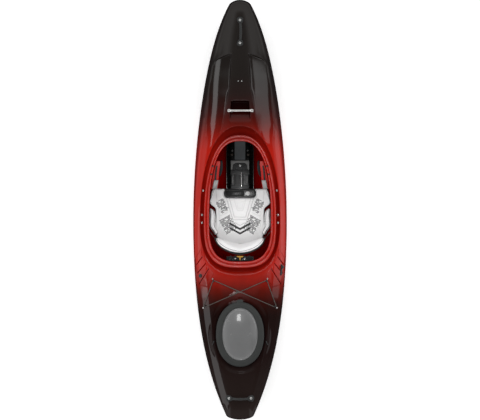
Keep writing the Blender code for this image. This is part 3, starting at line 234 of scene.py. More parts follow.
# threads over and under: each way's height is a rounded wave, shown where the other dips
def makeWeaveGroup():
    tree, goingIn, goingOut = newGroup(
        "wovenThreads", [("Vector", "NodeSocketVector", None), ("Threads", "NodeSocketFloat", 900.0)],
        [("Height", "NodeSocketFloat"), ("Shade", "NodeSocketFloat")])
    axes = tree.nodes.new("ShaderNodeSeparateXYZ")
    tree.links.new(goingIn.outputs["Vector"], axes.inputs[0])
    threads = goingIn.outputs["Threads"]
    a = times(tree, times(tree, axes.outputs[0], threads), pi)
    b = times(tree, times(tree, axes.outputs[1], threads), pi)
    sa = mathNode(tree, "SINE", a)
    sb = mathNode(tree, "SINE", b)
    over = plus(tree, times(tree, times(tree, sa, sb), 0.5), 0.5)
    warp = times(tree, mathNode(tree, "ABSOLUTE", sa), over)
    weft = times(tree, mathNode(tree, "ABSOLUTE", sb), minus(tree, 1.0, over))
    height = mathNode(tree, "MAXIMUM", warp, weft)
    tree.links.new(height, goingOut.inputs["Height"])
    # Shade: a tone that falls where the threads dip, used as painted shade between them
    tree.links.new(plus(tree, times(tree, height, 0.5), 0.5), goingOut.inputs["Shade"])
    return tree


# light rubbing where the surface turns sharply outwards, broken up by noise
def makeRubGroup():
    tree, goingIn, goingOut = newGroup(
        "rubbedEdges", [("Amount", "NodeSocketFloat", 0.5)], [("Mask", "NodeSocketFloat")])
    point = tree.nodes.new("ShaderNodeNewGeometry").outputs["Pointiness"]
    sharp = tree.nodes.new("ShaderNodeMapRange")
    sharp.inputs["From Min"].default_value = 0.52
    sharp.inputs["From Max"].default_value = 0.62
    tree.links.new(point, sharp.inputs["Value"])
    broken = noiseNode(tree, objectCoords(tree), 60.0, 5.0)
    mask = times(tree, times(tree, sharp.outputs[0], broken),
                    goingIn.outputs["Amount"])
    tree.links.new(mask, goingOut.inputs["Mask"])
    return tree


grainGroup = makeGrainGroup()
weaveGroup = makeWeaveGroup()
rubGroup = makeRubGroup()


def groupNode(tree, group, **values):
    node = tree.nodes.new("ShaderNodeGroup")
    node.node_tree = group
    setInputs(node, values)
    return node


def setInputs(node, values):
    for label, value in values.items():
        node.inputs[label].default_value = value


def newFinish(name, colour):
    mat = bpy.data.materials.new(name)
    mat.use_nodes = True
    mat.diffuse_color = (*colour, 1.0)
    return mat, mat.node_tree, mat.node_tree.nodes["Principled BSDF"]


def attributeValue(tree, name):
    node = tree.nodes.new("ShaderNodeAttribute")
    node.attribute_name = name
    return node.outputs["Fac"]


def mixColour(tree, share, a, b, blend="MIX"):
    node = tree.nodes.new("ShaderNodeMix")
    node.data_type = "RGBA"
    node.blend_type = blend
    for socket, value in ((node.inputs[0], share), (node.inputs[6], a), (node.inputs[7], b)):
        if isinstance(value, (int, float)):
            socket.default_value = value
        elif isinstance(value, tuple):
            socket.default_value = (*value[:3], 1.0)
        else:
            tree.links.new(value, socket)
    return node.outputs[2]


def bumpNode(tree, height, distance, strength=1.0):
    node = tree.nodes.new("ShaderNodeBump")
    node.inputs["Distance"].default_value = distance
    node.inputs["Strength"].default_value = strength
    tree.links.new(height, node.inputs["Height"])
    return node.outputs["Normal"]


# one moulded, metal or foam finish: colour with cloudy patches, roughness that follows them, fine bump
def moulded(name, colour, rough, metallic=0.0, coat=0.0, coatRough=0.08, specular=0.5, grain=900.0,
            depth=0.00004, cloud=0.12, rub=0.0, rubColour=(0.6, 0.6, 0.6)):
    mat, tree, shader = newFinish(name, colour)
    grainNode = groupNode(tree, grainGroup, Scale=grain)
    patches = grainNode.outputs["Patches"]
    dark = tuple(c * (1 - cloud * 1.6) for c in colour)
    light = tuple(min(c * (1 + cloud), 1.0) for c in colour)
    base = mixColour(tree, patches, dark, light)
    if rub:
        rubNode = groupNode(tree, rubGroup, Amount=rub)
        base = mixColour(tree, rubNode.outputs["Mask"], base, rubColour)
    tree.links.new(base, shader.inputs["Base Color"])
    tree.links.new(plus(tree, times(tree, patches, 0.16), rough - 0.08), shader.inputs["Roughness"])
    setInputs(shader, {"Metallic": metallic, "Coat Weight": coat, "Coat Roughness": coatRough,
                       "Specular IOR Level": specular})
    tree.links.new(bumpNode(tree, grainNode.outputs["Height"], depth), shader.inputs["Normal"])
    return mat


# cloth finish from the weave group on the piece's own UV map, in metres
def woven(name, colour, threads, depth=0.00025, dark=0.55):
    mat, tree, shader = newFinish(name, colour)
    weave = groupNode(tree, weaveGroup, Threads=threads)
    tree.links.new(tree.nodes.new("ShaderNodeUVMap").outputs[0], weave.inputs["Vector"])
    # painted shade: each thread darker where it dips under the other
    shade = mixColour(tree, weave.outputs["Shade"], tuple(c * dark for c in colour), colour)
    tree.links.new(shade, shader.inputs["Base Color"])
    setInputs(shader, {"Roughness": 0.85, "Sheen Weight": 0.2, "Specular IOR Level": 0.25})
    tree.links.new(bumpNode(tree, weave.outputs["Height"], depth), shader.inputs["Normal"])
    return mat


# the shell's colours along its length, stern to bow, as shares of the length and linear colours
shellFade = [
    (0.000, (0.0200, 0.0135, 0.0120)), (0.100, (0.0150, 0.0090, 0.0080)), (0.150, (0.0100, 0.0040, 0.0035)),
    (0.246, (0.0090, 0.0030, 0.0025)), (0.267, (0.0160, 0.0035, 0.0025)), (0.282, (0.0340, 0.0045, 0.0030)),
    (0.2957, (0.0620, 0.0055, 0.0032)), (0.310, (0.1100, 0.0065, 0.0034)), (0.3244, (0.1900, 0.0075, 0.0036)),
    (0.340, (0.2550, 0.0085, 0.0038)), (0.372, (0.3900, 0.0095, 0.0036)), (0.640, (0.4050, 0.0100, 0.0036)),
    (0.6636, (0.3000, 0.0090, 0.0038)), (0.6778, (0.2250, 0.0080, 0.0038)),
             (0.6923, (0.1450, 0.0070, 0.0038)),
    (0.7065, (0.0880, 0.0062, 0.0038)), (0.7206, (0.0560, 0.0056, 0.0040)),
             (0.7351, (0.0350, 0.0052, 0.0042)),
    (0.7493, (0.0240, 0.0055, 0.0045)), (0.778, (0.0145, 0.0070, 0.0058)), (0.820, (0.0115, 0.0086, 0.0072)),
    (0.880, (0.0125, 0.0098, 0.0084)), (1.000, (0.0145, 0.0110, 0.0094)),
]


shellGloss = {
    "grain": 1400.0, "drift": 0.016, "rub": 0.10, "rubColour": (0.45, 0.20, 0.18), "rough": 0.30,
    # the base colour is multiplied by these: on the raw inner face, partly as painted shade inside the hull,
    # and as painted shade in the recesses, on steep edges and on the rim's flats and walls
    "inner": (0.62, 0.08, 0.14), "deep": (0.20, 0.05, 0.10),
    "coat": 0.090, "polish": 0.10, "coatIor": 3.0, "coatRough": 0.05, "bump": 0.00002,
}


def makeShellFinish():
    mat, tree, shader = newFinish("shellFinish", (0.44, 0.025, 0.017))
    axes = tree.nodes.new("ShaderNodeSeparateXYZ")
    tree.links.new(objectCoords(tree), axes.inputs[0])
    grainNode = groupNode(tree, grainGroup, Scale=shellGloss["grain"])
    patches = grainNode.outputs["Patches"]
    along = plus(tree, mathNode(tree, "DIVIDE", axes.outputs[1], 2.756), 0.5)
    along = plus(tree, along, times(tree, minus(tree, patches, 0.5), shellGloss["drift"]))
    cloudy = mixColour(tree, patches, (0.90, 0.90, 0.90), (1.06, 1.06, 1.06))
    base = mixColour(tree, 1.0, rampNode(tree, along, shellFade), cloudy, "MULTIPLY")
    rubNode = groupNode(tree, rubGroup, Amount=shellGloss["rub"])
    base = mixColour(tree, rubNode.outputs["Mask"], base, shellGloss["rubColour"])
    # inner: the raw inner face, darker partly as painted shade inside the hull; deep: painted shade in the
    # recesses, on steep edges and on the rim
    inner, deep = attributeValue(tree, "inner"), attributeValue(tree, "deep")
    for share, label in ((inner, "inner"), (deep, "deep")):
        base = mixColour(tree, share, base, mixColour(tree, 1.0, base, shellGloss[label], "MULTIPLY"))
    tree.links.new(base, shader.inputs["Base Color"])
    tree.links.new(plus(tree, times(tree, patches, 0.10), shellGloss["rough"]), shader.inputs["Roughness"])
    # gloss goes on the inner face, in the recesses and where the moulding is dull, and grows on the crests
    bare = mathNode(tree, "MAXIMUM", mathNode(tree, "MAXIMUM", inner, deep), attributeValue(tree, "dull"))
    gloss = times(tree, minus(tree, 1.0, bare), shellGloss["coat"])
    gloss = plus(tree, gloss, times(tree, attributeValue(tree, "polish"), shellGloss["polish"]))
    tree.links.new(gloss, shader.inputs["Coat Weight"])
    setInputs(shader, {"Specular IOR Level": 0.0, "Coat IOR": shellGloss["coatIor"],
                       "Coat Roughness": shellGloss["coatRough"]})
    tree.links.new(bumpNode(tree, grainNode.outputs["Height"], shellGloss["bump"]), shader.inputs["Normal"])
    return mat


shellFinish = makeShellFinish()
blackPlastic = moulded("blackPlastic", (0.012, 0.012, 0.013), 0.42, specular=0.35, rub=0.15,
                       rubColour=(0.10, 0.10, 0.10))
glossBlack = moulded("glossBlack", (0.006, 0.006, 0.006), 0.20, specular=0.22, coat=0.1, cloud=0.05)
greyDome = moulded("greyDome", (0.128, 0.129, 0.130), 0.24, coat=0.8, coatRough=0.03, depth=0.00001,
                   cloud=0.05)
rimRubber = moulded("rimRubber", (0.024, 0.026, 0.025), 0.62, specular=0.3, grain=500.0, depth=0.00012)
softRubber = moulded("softRubber", (0.022, 0.023, 0.023), 0.60, specular=0.3, grain=600.0, depth=0.0001)
greyFoam = moulded("greyFoam", (0.050, 0.055, 0.058), 0.88, specular=0.2, grain=380.0, depth=0.0006,
                   cloud=0.25)
blackFoam = moulded("blackFoam", (0.014, 0.014, 0.015), 0.90, specular=0.2, grain=420.0, depth=0.0005,
                    cloud=0.3)
greyPlastic = moulded("greyPlastic", (0.11, 0.11, 0.11), 0.38, specular=0.4)
palePlastic = moulded("palePlastic", (0.62, 0.62, 0.61), 0.40, specular=0.4)
bracePlastic = moulded("bracePlastic", (0.40, 0.010, 0.006), 0.30, coat=0.12, coatRough=0.06, specular=0.15)
ratchetSteel = moulded("ratchetSteel", (0.30, 0.30, 0.30), 0.42, metallic=1.0, grain=260.0, depth=0.0004,
                       cloud=0.5)
brightSteel = moulded("brightSteel", (0.52, 0.52, 0.51), 0.24, metallic=1.0, depth=0.00001, cloud=0.05)
satinAlu = moulded("satinAlu", (0.60, 0.60, 0.59), 0.30, metallic=1.0, depth=0.00001, cloud=0.06)
blackWebbing = woven("blackWebbing", (0.030, 0.028, 0.027), 620.0)
yellowWebbing = woven("yellowWebbing", (0.72, 0.40, 0.07), 620.0)
print("finishes")


# building helpers
def meshPiece(name, verts, faces, angle=35.0, uv=None):
    verts = np.asarray(verts, float).reshape(-1, 3)
    if isinstance(faces, np.ndarray):
        faces = faces.tolist()
    mesh = bpy.data.meshes.new(name)
    mesh.from_pydata(verts.tolist(), [], faces)
    mesh.update()
    if uv is not None:
        loops = np.zeros(len(mesh.loops), np.int32)
        mesh.loops.foreach_get("vertex_index", loops)
        layer = mesh.uv_layers.new(name="UVMap")
        layer.data.foreach_set("uv", np.asarray(uv, float).reshape(-1, 2)[loops].ravel())
    obj = bpy.data.objects.new(name, mesh)
    scene.collection.objects.link(obj)
    tidyMesh(obj, angle)
    return obj


def shadeSmooth(obj, angle=None):
    obj.data.polygons.foreach_set("use_smooth", [True] * len(obj.data.polygons))
    if angle is not None:
        obj.data.set_sharp_from_angle(angle=math.radians(angle))


def tidyMesh(obj, angle=35.0):
    bm = bmesh.new()
    bm.from_mesh(obj.data)
    bmesh.ops.remove_doubles(bm, verts=bm.verts, dist=1e-6)
    bmesh.ops.dissolve_degenerate(bm, dist=1e-7, edges=bm.edges)
    bmesh.ops.recalc_face_normals(bm, faces=bm.faces)
    bm.to_mesh(obj.data)
    bm.free()
    shadeSmooth(obj, angle)


# places or other vectors of a mesh's vertices or faces
def vectorsOf(items, key="co"):
    values = np.zeros(len(items) * 3)
    items.foreach_get(key, values)
    return values.reshape(-1, 3)


def meshPoints(obj):
    return vectorsOf(obj.data.vertices)


# distance run along a line of points
def runOf(points):
    return np.concatenate([[0], np.cumsum(np.linalg.norm(np.diff(points, axis=0), axis=1))])


# quads of an m by n grid of points, either way closed on itself
def gridFaces(m, n, roundM=False, roundN=False, start=0):
    i = np.arange(m if roundM else m - 1)[:, None]
    j = np.arange(n if roundN else n - 1)[None, :]
    a = i * n + j
    b = ((i + 1) % m) * n + j
    c = ((i + 1) % m) * n + (j + 1) % n
    d = i * n + (j + 1) % n
    return np.stack([a, b, c, d], axis=-1).reshape(-1, 4) + start


# closed loops of equal count joined in order, ends capped flat
def loftPiece(name, loops, angle=35.0, ringShut=False):
    loops = np.asarray(loops, float)
    m, n = loops.shape[:2]
    faces = gridFaces(m, n, ringShut, True).tolist()
    if not ringShut:
        faces += [list(range(n)), list(range((m - 1) * n, m * n))]
    uv = np.stack(np.meshgrid(runOf(loops[m // 2]), runOf(loops[:, 0])), axis=-1)
    return meshPiece(name, loops, faces, angle, uv)


# profile carried along a path: side is tangent cross up, the profile's two numbers go along side and up
def sweepLoops(path, profile, closed=False, lean=up):
    path = np.asarray(path, float)
    profile = np.asarray(profile, float)
    if closed:
        way = np.roll(path, -1, axis=0) - np.roll(path, 1, axis=0)
    else:
        way = np.gradient(path, axis=0)
    way /= np.linalg.norm(way, axis=1)[:, None]
    side = np.cross(way, np.broadcast_to(lean, path.shape))
    side /= np.linalg.norm(side, axis=1)[:, None]
    rise = np.cross(side, way)
    return path[:, None] + side[:, None] * profile[:, :1] + rise[:, None] * profile[:, 1:]


def circle(radius, count=16):
    a = np.linspace(0, 2 * pi, count, endpoint=False)
    return np.column_stack([radius * np.cos(a), radius * np.sin(a)])


# cosine and sine of each angle, raised to powers with their signs kept
def rounded(t, power, other=None):
    c, s = np.cos(t), np.sin(t)
    return np.sign(c) * np.abs(c) ** power, np.sign(s) * np.abs(s) ** (other or power)


# outline of one half, from one end on the middle line to the other, with its mirror image
def bothHalves(half):
    return np.concatenate([half, (half * [-1, 1])[-2:0:-1]])


def roundRect(x0, x1, y0, y1, radius, steps=5):
    a = np.linspace(0, pi / 2, steps + 1)
    parts = []
    for k, (cx, cy) in enumerate(((x1 - radius, y1 - radius), (x0 + radius, y1 - radius),
                                  (x0 + radius, y0 + radius), (x1 - radius, y0 + radius))):
        parts.append(np.column_stack([cx + radius * np.cos(a + k * pi / 2),
                                      cy + radius * np.sin(a + k * pi / 2)]))
    return np.concatenate(parts)


# corners of an outline rounded by a radius: each corner becomes a short quadratic curve
def roundCorners(points, radius, steps=4):
    p = np.asarray(points, float)
    before = np.roll(p, 1, axis=0) - p
    after = np.roll(p, -1, axis=0) - p
    lb = np.linalg.norm(before, axis=1)
    la = np.linalg.norm(after, axis=1)
    r = np.minimum(radius, 0.45 * np.minimum(lb, la))[:, None]
    a = p + before / lb[:, None] * r
    b = p + after / la[:, None] * r
    t = np.linspace(0, 1, steps + 1)[None, :, None]
    return ((1 - t) ** 2 * a[:, None] + 2 * t * (1 - t) * p[:, None] + t ** 2 * b[:, None]).reshape(-1, 2)


# outline moved in along its own normals
def insetOutline(outline, amount):
    way = np.roll(outline, -1, axis=0) - np.roll(outline, 1, axis=0)
    way /= np.maximum(np.linalg.norm(way, axis=1), 1e-12)[:, None]
    area = np.sum(outline[:, 0] * np.roll(outline[:, 1], -1) - np.roll(outline[:, 0], -1) * outline[:, 1])
    inward = np.column_stack([-way[:, 1], way[:, 0]]) * np.sign(area)
    return outline + inward * amount


# plate with rounded upper and lower edges, laid in a frame of origin and three axes
def roundPlate(name, outline, z0, z1, radius, steps=3, place=None, angle=35.0):
    outline = np.asarray(outline, float)
    t = np.linspace(0, pi / 2, steps + 1)
    levels = [(radius * (1 - math.sin(a)), z0 + radius * (1 - math.cos(a))) for a in t]
    levels += [(radius * (1 - math.cos(a)), z1 - radius * (1 - math.sin(a))) for a in t]
    loops = np.array([np.column_stack([insetOutline(outline, d), np.full(len(outline), z)]) for d,
                      z in levels])
    if place is not None:
        loops = np.asarray(place[0], float) + loops @ np.array(place[1:], float)
    return loftPiece(name, loops, angle=angle)


def joinPieces(name, parts):
    bpy.ops.object.select_all(action="DESELECT")
    for part in parts:
        part.select_set(True)
    bpy.context.view_layer.objects.active = parts[0]
    bpy.ops.object.join()
    parts[0].name = name
    parts[0].data.name = name
    return parts[0]


def settle(obj, mat, body="shell", stands=()):
    obj.data.materials.clear()
    obj.data.materials.append(mat)
    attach(obj, body)
    if stands:
        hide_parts(*stands)
    return obj


def applyModifiers(obj):
    graph = bpy.context.evaluated_depsgraph_get()
    mesh = bpy.data.meshes.new_from_object(obj.evaluated_get(graph))
    obj.modifiers.clear()
    obj.data = mesh
    return obj


# one modifier with its settings, applied at once
def modified(obj, kind, **settings):
    modifier = obj.modifiers.new(kind.lower(), kind)
    for key, value in settings.items():
        setattr(modifier, key, value)
    return applyModifiers(obj)


def smooth(t):
    t = np.clip(t, 0.0, 1.0)
    return t * t * (3 - 2 * t)


# smooth curve through (y, value) pairs by cubic pieces
def curve(table, y):
    ys, vs = np.array(table, float).T
    slope = np.gradient(vs, ys)
    y = np.clip(np.asarray(y, float), ys[0], ys[-1])
    k = np.clip(np.searchsorted(ys, y) - 1, 0, len(ys) - 2)
    h = ys[k + 1] - ys[k]
    t = (y - ys[k]) / h
    a = 2 * t ** 3 - 3 * t ** 2 + 1
    b = t ** 3 - 2 * t ** 2 + t
    c = t ** 3 - t ** 2
    return a * vs[k] + b * h * slope[k] + (1 - a) * vs[k + 1] + c * h * slope[k + 1]


# shell form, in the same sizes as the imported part
shell = {
    "halfLength": 1.378, "halfBeam": 0.3072, "widestY": -0.0807, "wall": 0.006,
    "bowPlan": (0.6397, 0.1847, 7.892, 0.0312), "sternPlan": (0.4674, 0.2810, 3.873, 0.0267),
    "seamMid": 0.165, "seamBow": 0.075, "seamStern": 0.035,
    "rockerBow": (0.45, 0.12), "rockerStern": (0.70, 0.055), "keelRound": 0.13, "deckRound": 0.08,
    "deckLine": [(-1.378, 0.232), (-1.25, 0.240), (-1.10, 0.246), (-0.85, 0.250), (-0.60, 0.252),
                 (-0.40, 0.255), (-0.20, 0.260), (0.0, 0.272), (0.20, 0.292), (0.45, 0.322),
                 (0.55, 0.334), (0.70, 0.343), (0.85, 0.342), (1.00, 0.334), (1.25, 0.315),
                 (1.378, 0.300)],
    "coamingTop": [(-0.40, 0.284), (-0.30, 0.278), (-0.15, 0.274), (0.0, 0.280), (0.20, 0.306),
                   (0.40, 0.345), (0.50, 0.359)],
    "ridge": [(0.40, 0.150), (0.62, 0.100), (0.735, 0.084), (0.765, 0.079), (0.795, 0.070),
              (0.845, 0.0655), (1.04, 0.0545)],
    "panelEdge": [(0.40, 0.225), (0.70, 0.215), (0.890, 0.194), (0.928, 0.183), (0.955, 0.171),
                  (0.975, 0.157), (1.03, 0.105)],
    "grooveDepth": 0.0135, "pocketDepth": 0.030,
    "panelDrop": [(0.40, -0.0150), (0.48, -0.0117), (0.56, -0.0088), (0.62, -0.0072), (0.70, -0.0034),
                  (0.80, 0.0034), (0.90, 0.0070), (1.03, 0.0072)],
    "panelMiddle": [(0.45, 0.190), (0.556, 0.186), (0.665, 0.171), (0.845, 0.1625), (0.97, 0.1475),
                    (1.03, 0.141)],
    # flat band along each side of the rear deck: its middle line and half width
    "band": [(-1.30, 0.084), (-1.20, 0.113), (-1.118, 0.136), (-0.986, 0.166), (-0.855, 0.192),
             (-0.75, 0.209), (-0.658, 0.220), (-0.56, 0.231), (-0.50, 0.2365), (-0.44, 0.241)],
    "bandHalf": 0.0215,
}
cockpit = {"y": -0.080, "opening": (0.202, 0.529, 0.260), "rim": (0.238, 0.572, 0.303),
           "groove": (0.2625, 0.629, 0.335), "openingPowers": (2.6, 3.0), "rimPowers": (2.35, 3.0),
           "groovePowers": (2.25, 2.6), "wallShare": 0.25}
hatch = {"y": -0.818, "half": (0.134, 0.189), "power": 2.1, "z": 0.238, "hole": -0.0035,
         "dome": (0.1172, 0.1722)}
grip = {"lines": [((0.247, -0.3087), (0.2813, -0.3534)), ((0.2291, -0.3564), (0.2798, -0.416)),
                  ((0.2097, -0.3937), (0.2649, -0.4817))],
        "width": 0.0042, "depth": 0.0044, "raise": 0.0030,
        "inner": [(-0.56, 0.2315), (-0.5085, 0.2112), (-0.422, 0.1769), (-0.400, 0.1905),
                  (-0.3817, 0.2085), (-0.3445, 0.2262), (-0.3087, 0.2445), (-0.28, 0.2500),
                  (-0.246, 0.2515)]}


def tipShare(y, length):
    t = np.clip((shell["halfLength"] - np.abs(y)) / length, 0.0, 1.0)
    return np.sqrt(1 - (1 - t) ** 2)


def reachOf(y):
    end = np.where(y > shell["widestY"], shell["halfLength"], -shell["halfLength"])
    return np.clip((y - shell["widestY"]) / (end - shell["widestY"]), 0.0, 1.0)


# half width: 1 - a s^2 - c s^e of the beam, rounded off at the tips
def halfWidth(y):
    y = np.asarray(y, float)
    s = reachOf(y)
    bow = y > shell["widestY"]
    a, c, e = [np.where(bow, f, b) for f, b in zip(shell["bowPlan"][:3], shell["sternPlan"][:3])]
    tip = np.where(bow, tipShare(y, shell["bowPlan"][3]), tipShare(y, shell["sternPlan"][3]))
    return shell["halfBeam"] * (1 - a * s ** 2 - c * s ** e) * tip


def seamHeight(y):
    rise = np.where(y > shell["widestY"], shell["seamBow"], shell["seamStern"])
    return shell["seamMid"] + rise * reachOf(y) ** 2.2


def keelHeight(y):
    start, rise = shell["rockerBow"]
    line = rise * (np.clip(y - start, 0, None) / (shell["halfLength"] - start)) ** 2.2
    start, rise = shell["rockerStern"]
    line = line + rise * (np.clip(-y - start, 0, None) / (shell["halfLength"] - start)) ** 2
    return line + (seamHeight(y) - line) * (1 - tipShare(y, shell["keelRound"]))


# how far outside an oval a point lies, roughly, in metres
def ovalDistance(x, y, centre, half, ahead, behind, powers):
    length = np.where(y > centre, ahead, behind)
    power = np.where(y > centre, powers[0], powers[1])
    rho = ((np.abs(x) / half) ** power + (np.abs(y - centre) / length) ** power) ** (1 / power)
    return (rho - 1) * np.sqrt(x ** 2 + (y - centre) ** 2) / np.maximum(rho, 1e-6)


def softAbove(d, edge):
    return 0.5 * (d + np.sqrt(d * d + edge * edge))


# plain crowned deck: seam + (line - seam) * sqrt(1 - share^crown)
def plainDeck(x, y):
    seam = seamHeight(y)
    line = seam + (curve(shell["deckLine"], y) - seam) * tipShare(y, shell["deckRound"])
    crown = 2.6 + 0.9 * smooth((-0.3 - y) / 0.3)
    share = np.clip(np.abs(x) / np.maximum(halfWidth(y), 1e-6), 0.0, 1.0)
    return seam + (line - seam) * np.sqrt(np.clip(1 - share ** crown, 0.0, 1.0))


def ridgeAndEdge(y):
    w = halfWidth(y)
    return np.minimum(curve(shell["ridge"], y), 0.5 * w), np.minimum(curve(shell["panelEdge"], y), 0.86 * w)


# grip slats: how far each side of a slanted line a point lies, and the plates' outline as four cuts
def slatHeight(ax, y, grooves=False):
    away = [((y - y0) * (x1 - x0) - (ax - x0) * (y1 - y0)) / math.hypot(x1 - x0, y1 - y0)
            for (x0, y0), (x1, y1) in grip["lines"]]
    inner = curve(grip["inner"], y)
    rear = -0.5085 + 0.30 * (ax - 0.215)
    head = -0.246 - 1.68 * (ax - 0.2515)
    inside = np.minimum(np.minimum((ax - inner) * 0.8, y - rear), (head - y) * 0.5)
    inside = np.minimum(inside, 0.292 - 0.14 * np.clip(-0.35 - y, 0, None) - ax)
    area = smooth(inside / 0.0035)
    step = grip["raise"]
    plates = np.full(ax.shape, step)
    # each plate leans: highest at its rear line, level with the deck at the line ahead
    for d in away:
        plates = np.where(d < 0, step * (0.30 + 0.70 * np.clip(-d / 0.040, 0, 1)), plates)
    lines = np.zeros_like(ax)
    for d in away:
        lines = np.maximum(lines, 1 - smooth(np.abs(d) / grip["width"]))
    if grooves:
        return smooth(inside / 0.0035 + 0.5) * lines
    return area * (plates - grip["depth"] * lines)


def frontLine(ax):
    return 1.026 - 0.40 * (ax - 0.055)


# the moulded deck: sunk panels ahead, the bar's pocket, the rim's groove, grip slats and the hatch's flat
def deckHeight(x, y):
    ax = np.abs(x)
    z = plainDeck(x, y)
    ridge, edge = ridgeAndEdge(y)
    # panel floor: slope 0.458 + 1.27 (x - middle), the middle line drifting outwards to the rear
    middle = curve(shell["panelMiddle"], y)
    fall = 0.458 * (ax - 0.055) + 0.635 * ((ax - middle) ** 2 - (0.055 - middle) ** 2)
    panel = plainDeck(0.055, y) - curve(shell["panelDrop"], y) - fall
    ends = smooth((frontLine(ax) - y) / 0.013 + 0.5) * smooth((y - 0.42) / 0.14)
    within = smooth((ax - ridge) / 0.006 + 0.2) * smooth((edge + 0.006 - ax) / 0.010) * ends
    z = z - softAbove(z - panel, 0.0012) * within
    # pocket ahead of the bar, running out behind it as a dish
    side = smooth((0.0605 + 0.10 * (0.66 - y) - ax) / 0.011 + 0.5)
    z = z - shell["pocketDepth"] * side * smooth((0.7185 - y) / 0.014) * smooth((y - 0.560) / 0.095)
    outside = ovalDistance(x, y, cockpit["y"], *cockpit["groove"], cockpit["groovePowers"])
    trough = np.sin(pi / 2 * np.clip(softAbove(0.002 - outside, 0.0010) / 0.026, 0, 1))
    blended = 1 - smooth((outside + 0.016) / 0.036)
    aft = smooth((-0.20 - y) / 0.15)
    z = z - shell["grooveDepth"] * (trough + (blended - trough) * aft)
    # flat band: the chord of the plain deck between the band's edges
    line = curve(shell["band"], y)
    low, high = plainDeck(line + shell["bandHalf"], y), plainDeck(line - shell["bandHalf"], y)
    chord = high + (low - high) * ((ax - line) / (2 * shell["bandHalf"]) + 0.5)
    z = z - softAbove(z - chord, 0.0004) * smooth((-0.44 - y) / 0.06) * smooth((y + 1.32) / 0.06)
    z = z + slatHeight(ax, y)
    around = ovalDistance(x, y, hatch["y"], *hatch["half"], hatch["half"][1], (hatch["power"],) * 2)
    flat = 1 - smooth((around - 0.050) / 0.022)
    return z * (1 - flat) + hatch["z"] * flat


# one side of an oval from its front end to its rear end, cut into even lengths
def halfOval(count, centre, half, ahead, behind, powers, only=None):
    fine = np.linspace(pi / 2, -pi / 2, 4001)

    def at(angles):
        power = np.where(angles > 0, powers[0], powers[1])
        length = np.where(angles > 0, ahead, behind)
        c, s = np.abs(np.cos(angles)), np.abs(np.sin(angles))
        x = half * c ** (2 / power)
        return np.column_stack([np.where(c < 1e-9, 0.0, x),
                                centre + np.sign(angles) * length * s ** (2 / power)])

    if only is not None:
        return at(only)
    points = at(fine)
    run = np.concatenate([[0], np.cumsum(np.hypot(*np.diff(points, axis=0).T))])
    angles = np.interp(np.linspace(0, run[-1], count + 1), run, fine)
    angles[0], angles[-1] = pi / 2, -pi / 2
    return at(angles), angles


def rimOval(share):
    sizes = [o + share * (r - o) for o, r in zip(cockpit["opening"], cockpit["rim"])]
    powers = [o + share * (r - o) for o, r in zip(cockpit["openingPowers"], cockpit["rimPowers"])]
    return (cockpit["y"], *sizes, powers)


# rows run from the middle line or an opening's edge out to the seam, columns follow the panel's edges ahead
def deckRows(counts):
    tip = shell["halfLength"]
    front = np.concatenate([tip - 0.16 * (1 - np.cos(np.linspace(0, pi / 2, counts[0], endpoint=False))),
                            np.linspace(tip - 0.16, 0.515, counts[1])])
    edge, _ = halfOval(counts[2], *rimOval(cockpit["wallShare"]))
    half = [h + hatch["hole"] for h in hatch["half"]]
    hole, _ = halfOval(counts[4], hatch["y"], half[0], half[1], half[1], (hatch["power"],) * 2)
    between = np.linspace(-0.385, -0.612, counts[3])
    back = np.concatenate([np.linspace(-1.043, -tip + 0.12, counts[5]),
                           -tip + 0.12 * (1 - np.sin(np.linspace(0, pi / 2, counts[0])))])
    inner = np.concatenate([np.column_stack([0 * front, front]), edge,
                            np.column_stack([0 * between, between]),
                            hole, np.column_stack([0 * back, back])])
    outer = np.concatenate([front, np.linspace(0.492, -0.372, len(edge)),
                            np.linspace(-0.385, -0.592, counts[3]),
                            np.linspace(-0.600, -1.030, len(hole)), back])
    return inner, outer


def deckPoints(inner, outer, columns):
    k = np.linspace(0, 1, columns)
    even = 0.55 * k + 0.45 * (1 - np.cos(pi * k)) / 2
    w = halfWidth(outer)
    ridge, edge = ridgeAndEdge(outer)
    knots = np.array([0, 0.28, 0.72, 1.0])
    seg = np.clip(np.searchsorted(knots, k, side="right") - 1, 0, 2)
    t = (k - knots[seg]) / (knots[seg + 1] - knots[seg])
    stops = np.column_stack([0 * w, ridge / np.maximum(w, 1e-9), edge / np.maximum(w, 1e-9), 0 * w + 1])
    fitted = stops[:, seg] * (1 - t) + stops[:, seg + 1] * t
    free = smooth((0.560 - outer) / 0.05)[:, None]
    u = fitted * (1 - free) + even[None] * free
    x = inner[:, :1] + (w[:, None] - inner[:, :1]) * u
    y = inner[:, 1:] + (outer[:, None] - inner[:, 1:]) * u
    return x, y


def bothSides(x, y, z):
    points = np.stack([x, y, z], axis=-1)
    mirror = points * np.array([-1.0, 1.0, 1.0])
    m, n = x.shape
    faces = np.concatenate([gridFaces(m, n), gridFaces(m, n, start=m * n)[:, ::-1]])
    return np.concatenate([points.reshape(-1, 3), mirror.reshape(-1, 3)]), faces


seamGap = 0.00015


